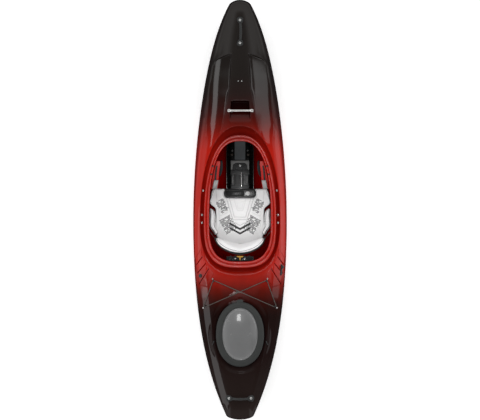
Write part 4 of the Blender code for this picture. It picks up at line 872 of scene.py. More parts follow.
# cells within reach of the deck's crisp lines, for each of three cuts
def deckFeatures(co, level):
    ax, y = np.abs(co[:, 0]), co[:, 1]
    w = halfWidth(y)
    ridge, edge = ridgeAndEdge(y)
    near = (0.010, 0.0050, 0.0030)[level]
    ahead = (y > 0.44) & (y < 1.05)
    front = np.abs(y - frontLine(ax))
    picked = ahead & ((np.abs(ax - ridge) < near) | (np.abs(ax - edge + 0.002) < near))
    picked |= (front < near * 1.5) & (ax > 0.035) & (ax < 0.19)
    outside = ovalDistance(co[:, 0], y, cockpit["y"], *cockpit["groove"], cockpit["groovePowers"])
    picked |= (outside > -0.030) & (outside < 0.012) & (level < 1)
    picked |= (np.abs(outside - 0.002) < 0.004) & (y > -0.30)
    slats = (y < -0.232) & (y > -0.530) & (ax > curve(grip["inner"], y) - 0.010)
    if level == 2:
        onLine = slatHeight(ax, y, True) > 0.02
        slats &= onLine | (np.abs(ax - curve(grip["inner"], y)) < 0.004)
    picked |= slats
    offBand = np.abs(np.abs(ax - curve(shell["band"], y)) - shell["bandHalf"])
    picked |= (offBand < near * 0.8) & (y < -0.46) & (y > -1.30)
    picked |= (np.abs(y - 0.640) < 0.095) & (ax < 0.085) & (level < 1)
    picked |= (np.abs(y - 0.655) < 0.075) & (np.abs(ax - 0.0605 - 0.10 * (0.66 - y)) < 0.008) & (level < 2)
    return picked & (ax < w - 0.012)


# upper face cut finer along its lines, lower face a wall's depth under the coarse cells, sides between them
def makeDeck():
    inner, outer = deckRows((16, 104, 108, 20, 70, 30))
    x, y = deckPoints(inner, outer, 31)
    verts, faces = bothSides(x, y, deckHeight(x, y) + seamGap)
    sheet = meshPiece("deckShell", verts, faces, 60)
    turnUp(sheet)
    low = vectorsOf(sheet.data.vertices) - vectorsOf(sheet.data.vertices, "normal") * shell["wall"]
    lowFaces = [tuple(p.vertices)[::-1] for p in sheet.data.polygons]
    bm = bmesh.new()
    bm.from_mesh(sheet.data)
    border = [(e.link_loops[0].vert.index, e.link_loops[0].link_loop_next.vert.index)
              for e in bm.edges if e.is_boundary]
    for level in range(3):
        bm.faces.ensure_lookup_table()
        middles = np.array([f.calc_center_median() for f in bm.faces])
        picked = np.nonzero(deckFeatures(middles, level))[0].tolist()
        edges = {e for i in picked for e in bm.faces[i].edges if not e.is_boundary}
        bmesh.ops.subdivide_edges(bm, edges=list(edges), cuts=1, use_grid_fill=True)
    fresh = bpy.data.meshes.new("deckFine")
    bm.to_mesh(fresh)
    bm.free()
    co = vectorsOf(fresh.vertices)
    onSeam = np.abs(co[:, 0]) > halfWidth(co[:, 1]) - 1e-5
    co[:, 2] = np.where(onSeam, seamHeight(co[:, 1]), deckHeight(co[:, 0], co[:, 1])) + seamGap
    start = len(co)
    faces = [tuple(p.vertices) for p in fresh.polygons]
    faces += [tuple(v + start for v in f) for f in lowFaces]
    faces += [(b, a, a + start, b + start) for a, b in border]
    bpy.data.objects.remove(sheet)
    deck = meshPiece("deckShell", np.concatenate([co, low]), faces, 60)
    points = meshPoints(deck)
    under = points[:, 2] < deckHeight(points[:, 0], points[:, 1]) - shell["wall"] * 0.5
    # the deck's underside is the inner face, darker partly as painted shade
    markPoints(deck, "inner", under & (np.abs(points[:, 0]) < halfWidth(points[:, 1]) - 0.004))
    # deep: painted shade in the deck's recesses and along its edges; dull: the gloss lost
    deep, dull = deckPaintedShadeAndDull(points[:, 0], points[:, 1])
    markPoints(deck, "deep", deep)
    markPoints(deck, "dull", dull)
    return settle(deck, shellFinish, stands=["deck"])


def setPoints(obj, co):
    obj.data.vertices.foreach_set("co", np.asarray(co, float).ravel())
    obj.data.update()


# attributes that the finishes read, each 0 to 1: inner (the raw inner face, partly painted shade), deep
# (painted shade), dull and polish on the shell, seam (painted shade) on the seat
def markPoints(obj, name, values):
    layer = obj.data.attributes.new(name, "FLOAT", "POINT")
    layer.data.foreach_set("value", np.asarray(values).astype(np.float32))


# painted shade on the deck and how much of its gloss is lost, both 0 to 1: the shade falls in the cockpit's
# groove, the bar's pocket, the slat lines, round the hatch, along the outer edges and on steep slopes
def deckPaintedShadeAndDull(x, y):
    ax = np.abs(x)
    e = 0.0008
    tilt = np.hypot(deckHeight(x + e, y) - deckHeight(x - e, y),
                    deckHeight(x, y + e) - deckHeight(x, y - e)) / (2 * e)
    steep = smooth((tilt - 1.15) / 0.6)
    w = halfWidth(y)
    outside = ovalDistance(x, y, cockpit["y"], *cockpit["groove"], cockpit["groovePowers"])
    crisp = smooth((0.0020 - outside) / 0.004)
    blended = 1 - smooth((outside + 0.016) / 0.030)
    trough = crisp + (blended - crisp) * smooth((-0.20 - y) / 0.15)
    # painted shade: darkest in the groove beside the cockpit, then in the pocket, the slat lines, round the
    # hatch, along the outer edges and on steep slopes
    deep = trough * curve([(-0.60, 0.40), (-0.33, 0.66), (-0.10, 0.72), (0.10, 0.70), (0.25, 0.42),
                           (0.55, 0.40)], y)
    side = smooth((0.0620 - ax) / 0.008 + 0.5)
    deep = np.maximum(deep, 0.90 * side * smooth((0.7185 - y) / 0.010) * smooth((y - 0.600) / 0.055))
    deep = np.maximum(deep, 0.80 * slatHeight(ax, y, True))
    around = ovalDistance(x, y, hatch["y"], *hatch["half"], hatch["half"][1], (hatch["power"],) * 2)
    deep = np.maximum(deep, 0.80 * (1 - smooth((around - 0.022) / 0.020)))
    _, edge = ridgeAndEdge(y)
    outer = np.minimum(w - 0.014, np.where(y > 0.60, edge + 0.004, w))
    deep = np.maximum(deep, 0.45 * smooth((ax - outer) / 0.010) * smooth((1.05 - y) / 0.06))
    deep = np.maximum(deep, 0.45 * smooth((ax - w + 0.012) / 0.010))
    deep = np.maximum(deep, 0.75 * steep)
    # no gloss in the groove, less between the panels and the cockpit
    before = smooth((0.66 - y) / 0.06) * smooth((y - 0.40) / 0.08) * (1 - smooth((ax - 0.120) / 0.035))
    dull = np.maximum(trough ** 0.5, 0.55 * before)
    behind = 0.50 * smooth((-0.28 - y) / 0.08) * (1 - smooth((outside - 0.008) / 0.035))
    # behind the cockpit only the flat bands keep the gloss
    onBand = 1 - smooth((np.abs(ax - curve(shell["band"], y)) - shell["bandHalf"]) / 0.003 + 0.5)
    # beside the foredeck panels the strip outside them is duller
    strip = 0.70 * smooth((ax - edge - 0.002) / 0.005) * smooth((w - 0.012 - ax) / 0.006)
    strip = strip * smooth((y - 0.62) / 0.10)
    dull = np.maximum(dull, strip * smooth((1.02 - y) / 0.05))
    rear = 0.80 * smooth((-0.52 + 0.10 * smooth((ax - 0.10) / 0.06) - y) / 0.08) * (1 - onBand)
    return deep, np.maximum(dull, np.maximum(behind, rear))


# faces turned so that most of the sheet points up, or down where want is -1
def turnUp(obj, want=1):
    if vectorsOf(obj.data.polygons, "normal")[:, 2].sum() * want < 0:
        obj.data.flip_normals()


deckSkin = makeDeck()
print("deck", len(deckSkin.data.polygons))


# hull section: flat floor, then a quarter of |x|^2.3 + |z|^2.3 = 1 up to the seam
def makeHull():
    _, outer = deckRows((20, 110, 100, 20, 60, 36))
    half, seam, keel = halfWidth(outer)[:, None], seamHeight(outer)[:, None], keelHeight(outer)[:, None]
    flat = half * 0.55 * (1 - reachOf(outer)[:, None] ** 4)
    a = np.linspace(0, pi / 2, 26)[None]
    bend = flat + (half - flat) * np.sin(a) ** (2 / 2.3)
    rise = seam - (seam - keel) * np.cos(a).clip(0) ** (2 / 2.3)
    floorX = flat * np.linspace(0, 1, 9)[None, :-1]
    x = np.concatenate([floorX, bend], axis=1)
    z = np.concatenate([np.broadcast_to(keel, floorX.shape), rise], axis=1)
    x[:, -1], z[:, -1] = half[:, 0], seam[:, 0]
    y = np.broadcast_to(outer[:, None], x.shape)
    verts, faces = bothSides(x, y, np.where(z > 0.05, z - seamGap, z))
    hull = meshPiece("hullShell", verts, faces, 60)
    turnUp(hull, -1)
    outerCount = len(hull.data.vertices)
    modified(hull, "SOLIDIFY", thickness=shell["wall"], offset=-1)
    # the inner face, darker in the shell finish partly as painted shade inside the hull
    markPoints(hull, "inner", np.arange(len(hull.data.vertices)) >= outerCount)
    slot = roundPlate("slotCutter", roundRect(-0.005, 0.005, -0.973, -0.732, 0.004), -0.02, 0.03, 0.0005)
    modified(hull, "BOOLEAN", operation="DIFFERENCE", solver="EXACT", object=slot)
    bpy.data.objects.remove(slot)
    shadeSmooth(hull, 50)
    return settle(hull, shellFinish, stands=["hull"])


hullSkin = makeHull()
print("hull", len(hullSkin.data.polygons))


def treeOf(obj):
    return BVHTree.FromPolygons(meshPoints(obj).tolist(), [tuple(p.vertices) for p in obj.data.polygons])


deckTree = treeOf(deckSkin)
hullTree = treeOf(hullSkin)


def deckAt(x, y):
    hit = deckTree.ray_cast(Vector((x, y, 1.0)), Vector((0, 0, -1)))
    normal = hit[1] if hit[1].z > 0 else -hit[1]
    return np.array(hit[0]), np.array(normal)


# spot and axes on the deck: side, ahead, out
def deckFrame(x, y, ahead=(0.0, 1.0, 0.0)):
    spot, out = deckAt(x, y)
    side = np.cross(np.asarray(ahead, float), out)
    side /= np.linalg.norm(side)
    return spot, side, np.cross(out, side), out


# coaming: a wall, then a lip rolled outwards; stations are (share of the lip's width, height from its crown)
coamingStations = [(0.25, None), (0.25, -0.022), (0.27, -0.015), (0.36, -0.0122), (0.62, -0.0120),
                   (0.80, -0.0135), (0.91, -0.0190), (0.955, -0.0210), (0.990, -0.0206), (1.0, -0.0180),
                   (1.0, -0.0120), (0.980, -0.0062), (0.925, -0.0028), (0.86, -0.0009), (0.79, 0.0000),
                   (0.72, -0.0003), (0.65, -0.0015), (0.57, -0.0027), (0.48, -0.0034), (0.40, -0.0031),
                   (0.33, -0.0020), (0.27, -0.0007), (0.21, 0.0000), (0.145, -0.0004), (0.080, -0.0020),
                   (0.026, -0.0050), (0.0, -0.0100), (0.0, -0.0200), (0.012, None)]


def makeCoaming():
    _, angles = halfOval(150, *rimOval(0.5))
    wallTop = bothHalves(halfOval(0, *rimOval(cockpit["wallShare"]), only=angles))
    loops = []
    for k, (share, drop) in enumerate(coamingStations):
        ring = bothHalves(halfOval(0, *rimOval(share), only=angles))
        # the wall's foot goes into the deck, its outer side a little deeper
        if drop is None:
            z = deckHeight(wallTop[:, 0], wallTop[:, 1]) - (0.003 if k == 0 else 0.0108)
        else:
            z = curve(shell["coamingTop"], ring[:, 1]) + drop
        loops.append(np.column_stack([ring, z]))
    loops = np.array(loops)
    loops[1, :, 2] = np.maximum(loops[1, :, 2], loops[0, :, 2] + 0.001)
    rim = loftPiece("coamingRim", loops, ringShut=True, angle=50)
    modified(rim, "SUBSURF", levels=1, render_levels=1)
    shadeSmooth(rim)
    points = meshPoints(rim)
    drop = curve(shell["coamingTop"], points[:, 1]) - points[:, 2]
    sink, wall = smooth((drop - 0.0010) / 0.0016), smooth((drop - 0.006) / 0.010)
    # painted shade: the rim darker in the valley between its crests and down its walls
    markPoints(rim, "deep", 0.02 + 0.40 * sink + 0.28 * wall)
    markPoints(rim, "dull", 0.90 * smooth((drop - 0.0020) / 0.0010))
    markPoints(rim, "polish", 1 - smooth((drop - 0.0012) / 0.0014))
    return settle(rim, shellFinish)


makeCoaming()


# small parts on the rim: black hooks by the thigh braces, red clips over the hip plates
def makeRimParts():
    hook = roundCorners([(-0.0075, -0.004), (0.0045, -0.0055), (0.0080, 0.0), (0.0045, 0.0055),
                         (-0.0075, 0.004)], 0.002, 3)
    clip = roundRect(-0.0052, 0.0052, -0.0085, 0.0085, 0.003, 4)
    for side, word in sides:
        hooks = []
        for x, y in ((0.1780, 0.286), (0.1885, 0.232)):
            spot = (side * x, y, float(curve(shell["coamingTop"], y)) - 0.0035)
            place = (spot, (side, 0, 0.12), (0.15 * side, 1.0, 0), up)
            hooks.append(roundPlate("hook", hook, 0.0, 0.0065, 0.0018, 3, place))
        settle(joinPieces("rimHooks" + word, hooks), glossBlack, "shell")
        clips = []
        for y in (-0.052, -0.081, -0.110):
            spot = (side * 0.2125, y, float(curve(shell["coamingTop"], y)) - 0.010)
            clips.append(roundPlate("clip", clip, 0.0, 0.0105, 0.003, 4, (spot, (1, 0, 0), (0, 1, 0), up)))
        settle(joinPieces("rimClips" + word, clips), bracePlastic, "shell")


makeRimParts()
print("coaming")


# fittings on the deck

# a CAD piece's own form with its edges rounded: merged copy, bevel on sharp edges
def refined(nodeName, mat, body="shell", width=0.0008, segments=2, angle=30.0):
    obj = bpy.data.objects.new(nodeName + "_fine", frame["nodes"][nodeName].data.copy())
    scene.collection.objects.link(obj)
    bm = bmesh.new()
    bm.from_mesh(obj.data)
    bmesh.ops.remove_doubles(bm, verts=bm.verts, dist=1e-5)
    bmesh.ops.recalc_face_normals(bm, faces=bm.faces)
    bmesh.ops.dissolve_limit(bm, angle_limit=math.radians(1.0), verts=bm.verts, edges=bm.edges)
    bm.to_mesh(obj.data)
    bm.free()
    modified(obj, "BEVEL", width=width, segments=segments, limit_method="ANGLE",
             angle_limit=math.radians(angle), use_clamp_overlap=True)
    shadeSmooth(obj, 40)
    return settle(obj, mat, body, [nodeName])


# domed bolt with a washer and a six-sided socket, standing along the third axis
def boltPiece(name, spot, axes=None, radius=0.0072, height=0.0042, mat=None, stands=(), washer=1.25):
    r, h = radius, height
    bands = [(r * washer, 0.0), (r * washer, h * 0.18), (r * 1.02, h * 0.24), (r, h * 0.45),
             (r * 0.93, h * 0.72), (r * 0.78, h * 0.92), (r * 0.55, h)]
    ring = circle(1.0, 24)
    loops = [np.column_stack([far * ring, np.full(24, tall)]) for far, tall in bands]
    a = np.arctan2(ring[:, 1], ring[:, 0])
    hexagon = 0.40 * r / np.cos((a + pi / 6) % (pi / 3) - pi / 6)
    for depth in (h, h * 0.35):
        loops.append(np.column_stack([hexagon * np.cos(a), hexagon * np.sin(a), np.full(24, depth)]))
    loops = np.array(loops)
    if axes is not None:
        loops = loops @ np.array(axes, float)
    obj = loftPiece(name, loops + np.asarray(spot, float), angle=32)
    return settle(obj, mat or brightSteel, "shell", stands)


# the same bolt seated on the deck
def deckBolt(name, x, y, radius, height, washer=1.25):
    spot, side, ahead, out = deckFrame(x, y)
    boltPiece(name, spot + out * 0.0001, (side, ahead, out), radius, height, washer=washer)


# strip along a run of (distance, half width, half height, lift) with a rounded section, between two feet
handleSizes = {
    "stations": [(-0.021, 0.006, 0.0015, 0.0), (-0.017, 0.014, 0.003, 0.0), (0.0, 0.020, 0.003, 0.0),
                 (0.014, 0.015, 0.003, 0.0), (0.022, 0.009, 0.0035, 0.007), (0.032, 0.008, 0.005, 0.020),
                 (0.048, 0.008, 0.006, 0.027)],
    "middle": (0.0085, 0.0065, 0.029), "footRadius": 0.0135,
}


def makeHandle(name, ends, bow, node, boltNodes):
    (x0, y0), (x1, y1) = ends
    span = math.hypot(x1 - x0, y1 - y0)
    way = np.array([(x1 - x0) / span, (y1 - y0) / span, 0.0])
    across = np.array([-way[1], way[0], 0.0])
    feet = [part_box(b)[0][2] - 0.0063 for b in boltNodes]
    run = [list(s) for s in handleSizes["stations"]]
    run += [[span / 2, *handleSizes["middle"]]] + [[span - s[0], *s[1:]] for s in run[::-1]]
    run = np.array(run)
    fine = np.linspace(run[0, 0], run[-1, 0], 96)
    size = np.column_stack([curve(run[:, [0, k]].tolist(), fine) for k in (1, 2, 3)])
    size[:, :2] = np.maximum(size[:, :2], 0.0012)
    size[:, 2] = np.clip(size[:, 2], 0, None)
    share = np.clip(fine / span, 0, 1)
    middle = np.array([x0, y0, 0.0]) + way * fine[:, None] + across * (bow * np.sin(pi * share))[:, None]
    middle[:, 2] = feet[0] + (feet[1] - feet[0]) * share + 0.003 + size[:, 2]
    ribs = smooth((fine - 0.045) / 0.01) * smooth((span - 0.045 - fine) / 0.01)
    ribs = 1 + 0.045 * np.cos(2 * pi * fine / 0.0075) * ribs
    c, s = rounded(np.linspace(0, 2 * pi, 28, endpoint=False), 0.7)
    loops = middle[:, None] + across * (size[:, 0] * ribs)[:, None, None] * c[:, None]
    loops = loops + up * (size[:, 1] * ribs)[:, None, None] * s[:, None]
    settle(loftPiece(name, loops, angle=60), softRubber, "shell", [node])
    for end, boltNode in zip(ends, boltNodes):
        spot = (*end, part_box(boltNode)[0][2] - 0.0002)
        boltPiece(boltNode + "_fine", spot, stands=[boltNode], washer=1.15)


makeHandle("bowGrab", ((0.0, 1.245), (0.0, 1.095)), 0.005, "bow_handle", ["bow_bolt_front", "bow_bolt_rear"])
makeHandle("sternGrab", ((-0.072, -1.238), (0.072, -1.238)), -0.006, "stern_handle",
           ["stern_bolt_left", "stern_bolt_right"])


# bar over the pocket: flat bolted ends on the fine deck, rising to a rounded middle
barShape = {
    "foot": 0.3378,
    "middle": (0.0030, 0.651),
    "half": 0.0855,
    "lift": 0.0040,
    "boltOut": 0.0760,
}


def makeBar():
    foot = barShape["foot"]
    middleX, middleY = barShape["middle"]
    s = np.linspace(-1, 1, 90)
    a = np.abs(s)
    stem = 1 - smooth((a - 0.70) / 0.14)
    thick = 0.0028 + 0.0040 * stem
    wide = (0.0095 - 0.0025 * stem) * np.sqrt(np.clip(1 - ((a - 0.93) / 0.07).clip(0) ** 2, 0.02, 1))
    lift = barShape["lift"] * (1 - smooth((a - 0.60) / 0.24)) + 0.002 * (1 - a)
    c, z = rounded(np.linspace(0, 2 * pi, 24, endpoint=False), 0.8)
    loops = np.zeros((len(s), len(c), 3))
    loops[:, :, 0] = (middleX + s * barShape["half"])[:, None]
    loops[:, :, 1] = middleY + wide[:, None] * c
    loops[:, :, 2] = (foot + 0.0028 + lift)[:, None] + thick[:, None] * z
    settle(loftPiece("pocketBar", loops, angle=40), satinAlu, "shell", ["broach_bar"])
    for side, word in sides:
        spot = (middleX + side * barShape["boltOut"], middleY, foot + 0.0054)
        boltPiece("barBolt" + word, spot, radius=0.0042, height=0.0026)


makeBar()


# hatch pieces: a closed section carried round the hatch's oval, offsets out and heights in metres
def ovalRing(name, section, count=160, bump=None):
    t = np.linspace(0, 2 * pi, count, endpoint=False)
    c, s = rounded(t, 2 / hatch["power"])
    section = np.asarray(section, float)
    loops = np.zeros((len(section), count, 3))
    loops[:, :, 0] = (hatch["half"][0] + section[:, :1]) * c
    loops[:, :, 1] = hatch["y"] + (hatch["half"][1] + section[:, :1]) * s
    loops[:, :, 2] = hatch["z"] + section[:, 1:]
    if bump is not None:
        loops = bump(loops, t)
    return loftPiece(name, loops, ringShut=True, angle=45)


# sections carried round the hatch's oval as offset out and height, the dome as share of its size and height
hatchShape = {
    "seat": [(0.016, 0.00045), (0.016, 0.0030), (0.0025, 0.0034), (0.0025, 0.0160), (-0.0025, 0.0160),
             (-0.0025, 0.0034), (-0.0105, 0.0034), (-0.0105, -0.0140), (-0.0066, -0.0140),
             (-0.0066, 0.00045)],
    "cover": [(0.0240, 0.0046), (0.0240, 0.0120), (0.0200, 0.0190), (0.0100, 0.0228), (-0.0060, 0.0228),
              (-0.0165, 0.0200), (-0.0165, 0.0085), (-0.0030, 0.0085), (-0.0030, 0.0163),
              (0.0030, 0.0163), (0.0030, 0.0046)],
    "domeTop": [(0.0, 0.0304), (0.15, 0.0303), (0.30, 0.0299), (0.45, 0.0289), (0.58, 0.0275),
                (0.70, 0.0258), (0.82, 0.0235), (0.90, 0.0216), (0.955, 0.0197), (0.985, 0.0186),
                (1.0, 0.0172)],
    "domeUnder": [(1.0, 0.0079), (1.055, 0.0079), (1.055, 0.0052), (0.93, 0.0052), (0.90, 0.0150),
                  (0.55, 0.0235), (0.004, 0.0262)],
    "tab": [(-0.0215, -0.612), (-0.0190, -0.5945), (-0.010, -0.5890), (0.010, -0.5890), (0.0190, -0.5945),
            (0.0215, -0.612)],
    "tabHeights": (0.0115, 0.0182),
    "ribs": 90, "ribDepth": 0.0007,
}


# small ribs round the ring's outer shoulder
def shoulderRibs(loops, t):
    tall = loops[:, :, 2] - hatch["z"]
    outer = np.clip((tall - 0.0130) / 0.004, 0, 1) * np.clip((0.0235 - tall) / 0.0012, 0, 1)
    loops[:, :, 2] -= hatchShape["ribDepth"] * outer * (0.5 + 0.5 * np.cos(t * hatchShape["ribs"])) ** 4
    return loops


def makeHatch():
    section = roundCorners(hatchShape["seat"], 0.0010, 3)
    settle(ovalRing("hatchSeat", section), blackPlastic, "shell", ["hatch_rim"])
    ring = ovalRing("hatchCoverRing", roundCorners(hatchShape["cover"], 0.0034, 4), 360, shoulderRibs)
    settle(ring, rimRubber, "hatch_lid", ["hatch_cover"])
    # the dome's upper face has a fine groove and bead near its edge
    shares = np.concatenate([[0.004], np.linspace(0.03, 0.88, 30), np.linspace(0.89, 1.0, 22)])
    heights = curve(hatchShape["domeTop"], shares) - 0.0012 * np.exp(-((shares - 0.935) / 0.012) ** 2)
    heights = heights + 0.0014 * np.exp(-((shares - 0.972) / 0.010) ** 2)
    c, s = rounded(np.linspace(0, 2 * pi, 120, endpoint=False), 2 / hatch["power"])
    x, y = hatch["dome"]
    loops = [np.column_stack([x * v * c, hatch["y"] + y * v * s, np.full(120, hatch["z"] + h)])
             for v, h in list(zip(shares, heights)) + hatchShape["domeUnder"]]
    settle(loftPiece("hatchDomeFine", loops, angle=30), greyDome, "hatch_lid", ["hatch_dome"])
    # pull tab moulded onto the ring's front
    z0, z1 = (hatch["z"] + h for h in hatchShape["tabHeights"])
    tab = roundPlate("hatchPullTab", roundCorners(hatchShape["tab"], 0.004, 5), z0, z1, 0.0022)
    settle(tab, rimRubber, "hatch_lid")


makeHatch()
print("handles, bar and hatch")


# bungee, eyes and small deck fittings
bungee = {"radius": 0.0025, "bend": 0.0085,
          "eyes": [(-0.175, -0.466), (0.233, -0.635), (0.175, -0.466), (-0.233, -0.635)]}


def cordSeat(x, y, radius):
    best = deckAt(x, y)[0][2] + radius
    for share in (0.45, 0.85):
        for a in np.linspace(0, 5.5, 8):
            hit = deckAt(x + radius * share * math.cos(a), y + radius * share * math.sin(a))[0][2]
            best = max(best, hit + radius * math.sqrt(1 - share ** 2))
    return best + 0.0003


# points lifted to the straight lines that a stretched cord would take over the high spots
def tautLine(points):
    run = runOf(points[:, :2])
    keep = [0]
    for k in range(1, len(points)):
        while len(keep) > 1:
            i, j = keep[-2], keep[-1]
            reach = (points[k, 2] - points[i, 2]) * (run[j] - run[i])
            if (points[j, 2] - points[i, 2]) * (run[k] - run[i]) > reach:
                break
            keep.pop()
        keep.append(k)
    out = points.copy()
    out[:, 2] = np.interp(run, run[keep], points[keep, 2])
    return out


def bungeeRoute():
    corners = []
    eyes = np.array(bungee["eyes"])
    bend = bungee["bend"]
    for k in range(4):
        here = eyes[k]
        before, after = eyes[k - 1] - here, eyes[(k + 1) % 4] - here
        before, after = before / np.linalg.norm(before), after / np.linalg.norm(after)
        half = math.acos(np.clip(before @ after, -1, 1)) / 2
        inward = (before + after) / np.linalg.norm(before + after)
        centre = here + inward * bend
        start = centre - bend * (inward - before * (before @ inward)) / math.sin(half)
        end = centre - bend * (inward - after * (after @ inward)) / math.sin(half)
        arc = []
        for t in np.linspace(0, 1, 13):
            d = (start - centre) * (1 - t) + (end - centre) * t
            d = -inward if np.linalg.norm(d) < 1e-6 else d
            arc.append(centre + bend * d / np.linalg.norm(d))
        corners.append((arc, inward))
    path = []
    for k in range(4):
        arc = corners[k][0]
        a, b = arc[-1], corners[(k + 1) % 4][0][0]
        t = np.linspace(0, 1, 61)
        flat = np.array([(*(a * (1 - v) + b * v), 0.0) for v in t])
        flat[:, 2] = [cordSeat(x, y, bungee["radius"]) + 0.0007 for x, y, _ in flat]
        if k == 0:
            flat[:, 2] += 0.0058 * np.exp(-((t - 0.5) / 0.05) ** 2)
        path += [(x, y, cordSeat(x, y, bungee["radius"]) + 0.0006) for x, y in arc[1:-1]]
        path += tautLine(flat).tolist()
    return np.array(path), corners


def makeBungee():
    path, corners = bungeeRoute()
    loop = np.vstack([path, path[:1]])
    run = runOf(loop)
    want = np.linspace(0, run[-1], 1100, endpoint=False)
    fine = np.column_stack([np.interp(want, run, loop[:, k]) for k in range(3)])
    for _ in range(2):
        fine = (np.roll(fine, 1, axis=0) + fine * 2 + np.roll(fine, -1, axis=0)) / 4
    loops = sweepLoops(fine, circle(bungee["radius"], 14), closed=True)
    cord = loftPiece("deckCord", loops, ringShut=True, angle=80)
    uvRun = np.repeat(want, 14)
    uvRound = np.tile(np.arange(14) / 14 * 2 * pi * bungee["radius"], len(want))
    index = np.zeros(len(cord.data.loops), np.int32)
    cord.data.loops.foreach_get("vertex_index", index)
    cord.data.uv_layers[0].data.foreach_set("uv", np.column_stack([uvRound, uvRun])[index].ravel())
    settle(cord, cordFinish, "shell", ["deck_bungee"])
    return corners


cordFinish = woven("cordSheath", (0.085, 0.070, 0.060), 900.0, depth=0.0003, dark=0.4)
bends = makeBungee()


# arch eyes over the cord, each with a screw beside it, and the two pad eyes
for number, (arc, inward) in enumerate(bends, 1):
    refined(f"bungee_eye_{number}", blackPlastic, width=0.0009, segments=3)
    spot, side, ahead, out = deckFrame(*(np.array(arc[6]) - inward * 0.0125))
    boltPiece(f"eyeScrew{number}", spot + out * 0.0002, (side, ahead, out), radius=0.0040, height=0.0026)
for node in ("pad_eye_left", "pad_eye_right"):
    refined(node, blackPlastic, width=0.0009, segments=3)


# knot and loose end of the bungee beside its crossing
def makeCordBits():
    base = np.array([-0.0215, -0.5395])
    t = np.linspace(0, 2 * pi, 60)
    knot = []
    for part, tilt in ((0.0048, 0.0), (0.0040, 1.2)):
        ring = np.column_stack([base[0] + part * np.cos(t), base[1] + part * 0.8 * np.sin(t + tilt), 0 * t])
        ring[:, 2] = [cordSeat(x, y, 0.0022) + 0.0035 + 0.0020 * math.sin(2 * v + tilt)
                      for (x, y, _), v in zip(ring, t)]
        loops = sweepLoops(ring[:-1], circle(0.0022, 10), closed=True)
        knot.append(loftPiece("knotTurn", loops, ringShut=True, angle=80))
    tail = np.array([(-0.024, -0.5420), (-0.029, -0.5470), (-0.034, -0.5500), (-0.0385, -0.5560)])
    s = np.linspace(0, 1, 26)
    tail = np.column_stack([np.interp(s, np.linspace(0, 1, 4), tail[:, k]) for k in (0, 1)])
    lift = [cordSeat(x, y, 0.0024) + 0.0003 + 0.003 * (1 - v) ** 2 for (x, y), v in zip(tail, s)]
    path = np.column_stack([tail, lift])
    knot.append(loftPiece("knotTail", sweepLoops(path, circle(0.0024, 10)), angle=60))
    settle(joinPieces("cordKnot", knot), cordFinish, "shell")


makeCordBits()

for number, (x, y) in enumerate([(0.235, 0.126), (0.243, -0.034), (0.243, -0.086)]):
    for side, word in sides:
        deckBolt(f"sideBolt{word}{number}", side * (x + 0.0055), y, 0.0058, 0.0034, 1.15)
for side, word in sides:
    deckBolt("deckScrew" + word, side * 0.011, 0.845, 0.0034, 0.0020, 1.1)
print("deck fittings")


# seat
seat = {"floor": 0.034, "rise": 0.018, "pad": 0.0172, "front": 0.137, "rear": -0.228,
        "side": [(-0.232, 0.126), (-0.215, 0.142), (-0.18, 0.150), (-0.150, 0.1585), (-0.02, 0.1590),
                 (0.012, 0.165), (0.035, 0.192), (0.08, 0.192), (0.14, 0.184)],
        # sewn channels of one half: points, depth and half width
        "channels": [([(0.0950, 0.090), (0.0470, -0.0655), (-0.001, -0.0655)], 0.0042, 0.0034),
                     ([(0.0745, 0.090), (0.0375, -0.0490), (-0.001, -0.0490)], 0.0036, 0.0030),
                     ([(0.0420, 0.080), (0.0185, -0.0060), (-0.001, -0.0060)], 0.0022, 0.0026),
                     ([(0.0215, 0.050), (0.0140, 0.0100), (-0.001, 0.0100)], 0.0018, 0.0022),
                     ([(0.1580, 0.126), (0.1520, 0.060), (0.1390, -0.010), (0.1330, -0.110)], 0.0026, 0.0026),
                     ([(0.1130, 0.100), (0.0900, 0.004), (0.1360, -0.014)], 0.0028, 0.0028),
                     ([(0.0830, -0.020), (0.1340, -0.040)], 0.0024, 0.0026),
                     ([(0.0640, -0.048), (0.1320, -0.074)], 0.0024, 0.0026),
                     ([(0.0200, -0.088), (0.0750, -0.094), (0.1280, -0.118)], 0.0020, 0.0040)]}


def seatTop(x, y):
    return seat["floor"] + seat["rise"] * smooth((y + 0.03) / 0.10) + 5.0 * np.clip(np.abs(x) - 0.11, 0,
                                                                                    None) ** 2


# depth below the pad's crown of channels given as polylines: the nearest stretch's bell-shaped groove
def channelDepth(x, y, channels):
    ax = np.abs(x)
    depth = np.zeros_like(ax)
    for points, deep, wide in channels:
        near = np.full(ax.shape, 1.0)
        for (x0, y0), (x1, y1) in zip(points[:-1], points[1:]):
            dx, dy = x1 - x0, y1 - y0
            t = np.clip(((ax - x0) * dx + (y - y0) * dy) / (dx * dx + dy * dy), 0, 1)
            near = np.minimum(near, np.hypot(ax - x0 - t * dx, y - y0 - t * dy))
        depth = np.maximum(depth, deep * np.exp(-(near / wide) ** 2))
    return depth


# outside distance of a rounded rectangle, in metres
def rectDistance(x, y, x0, x1, y0, y1, radius):
    qx = np.abs(x - (x0 + x1) / 2) - (x1 - x0) / 2 + radius
    qy = np.abs(y - (y0 + y1) / 2) - (y1 - y0) / 2 + radius
    return np.hypot(qx.clip(0), qy.clip(0)) + np.minimum(np.maximum(qx, qy), 0) - radius


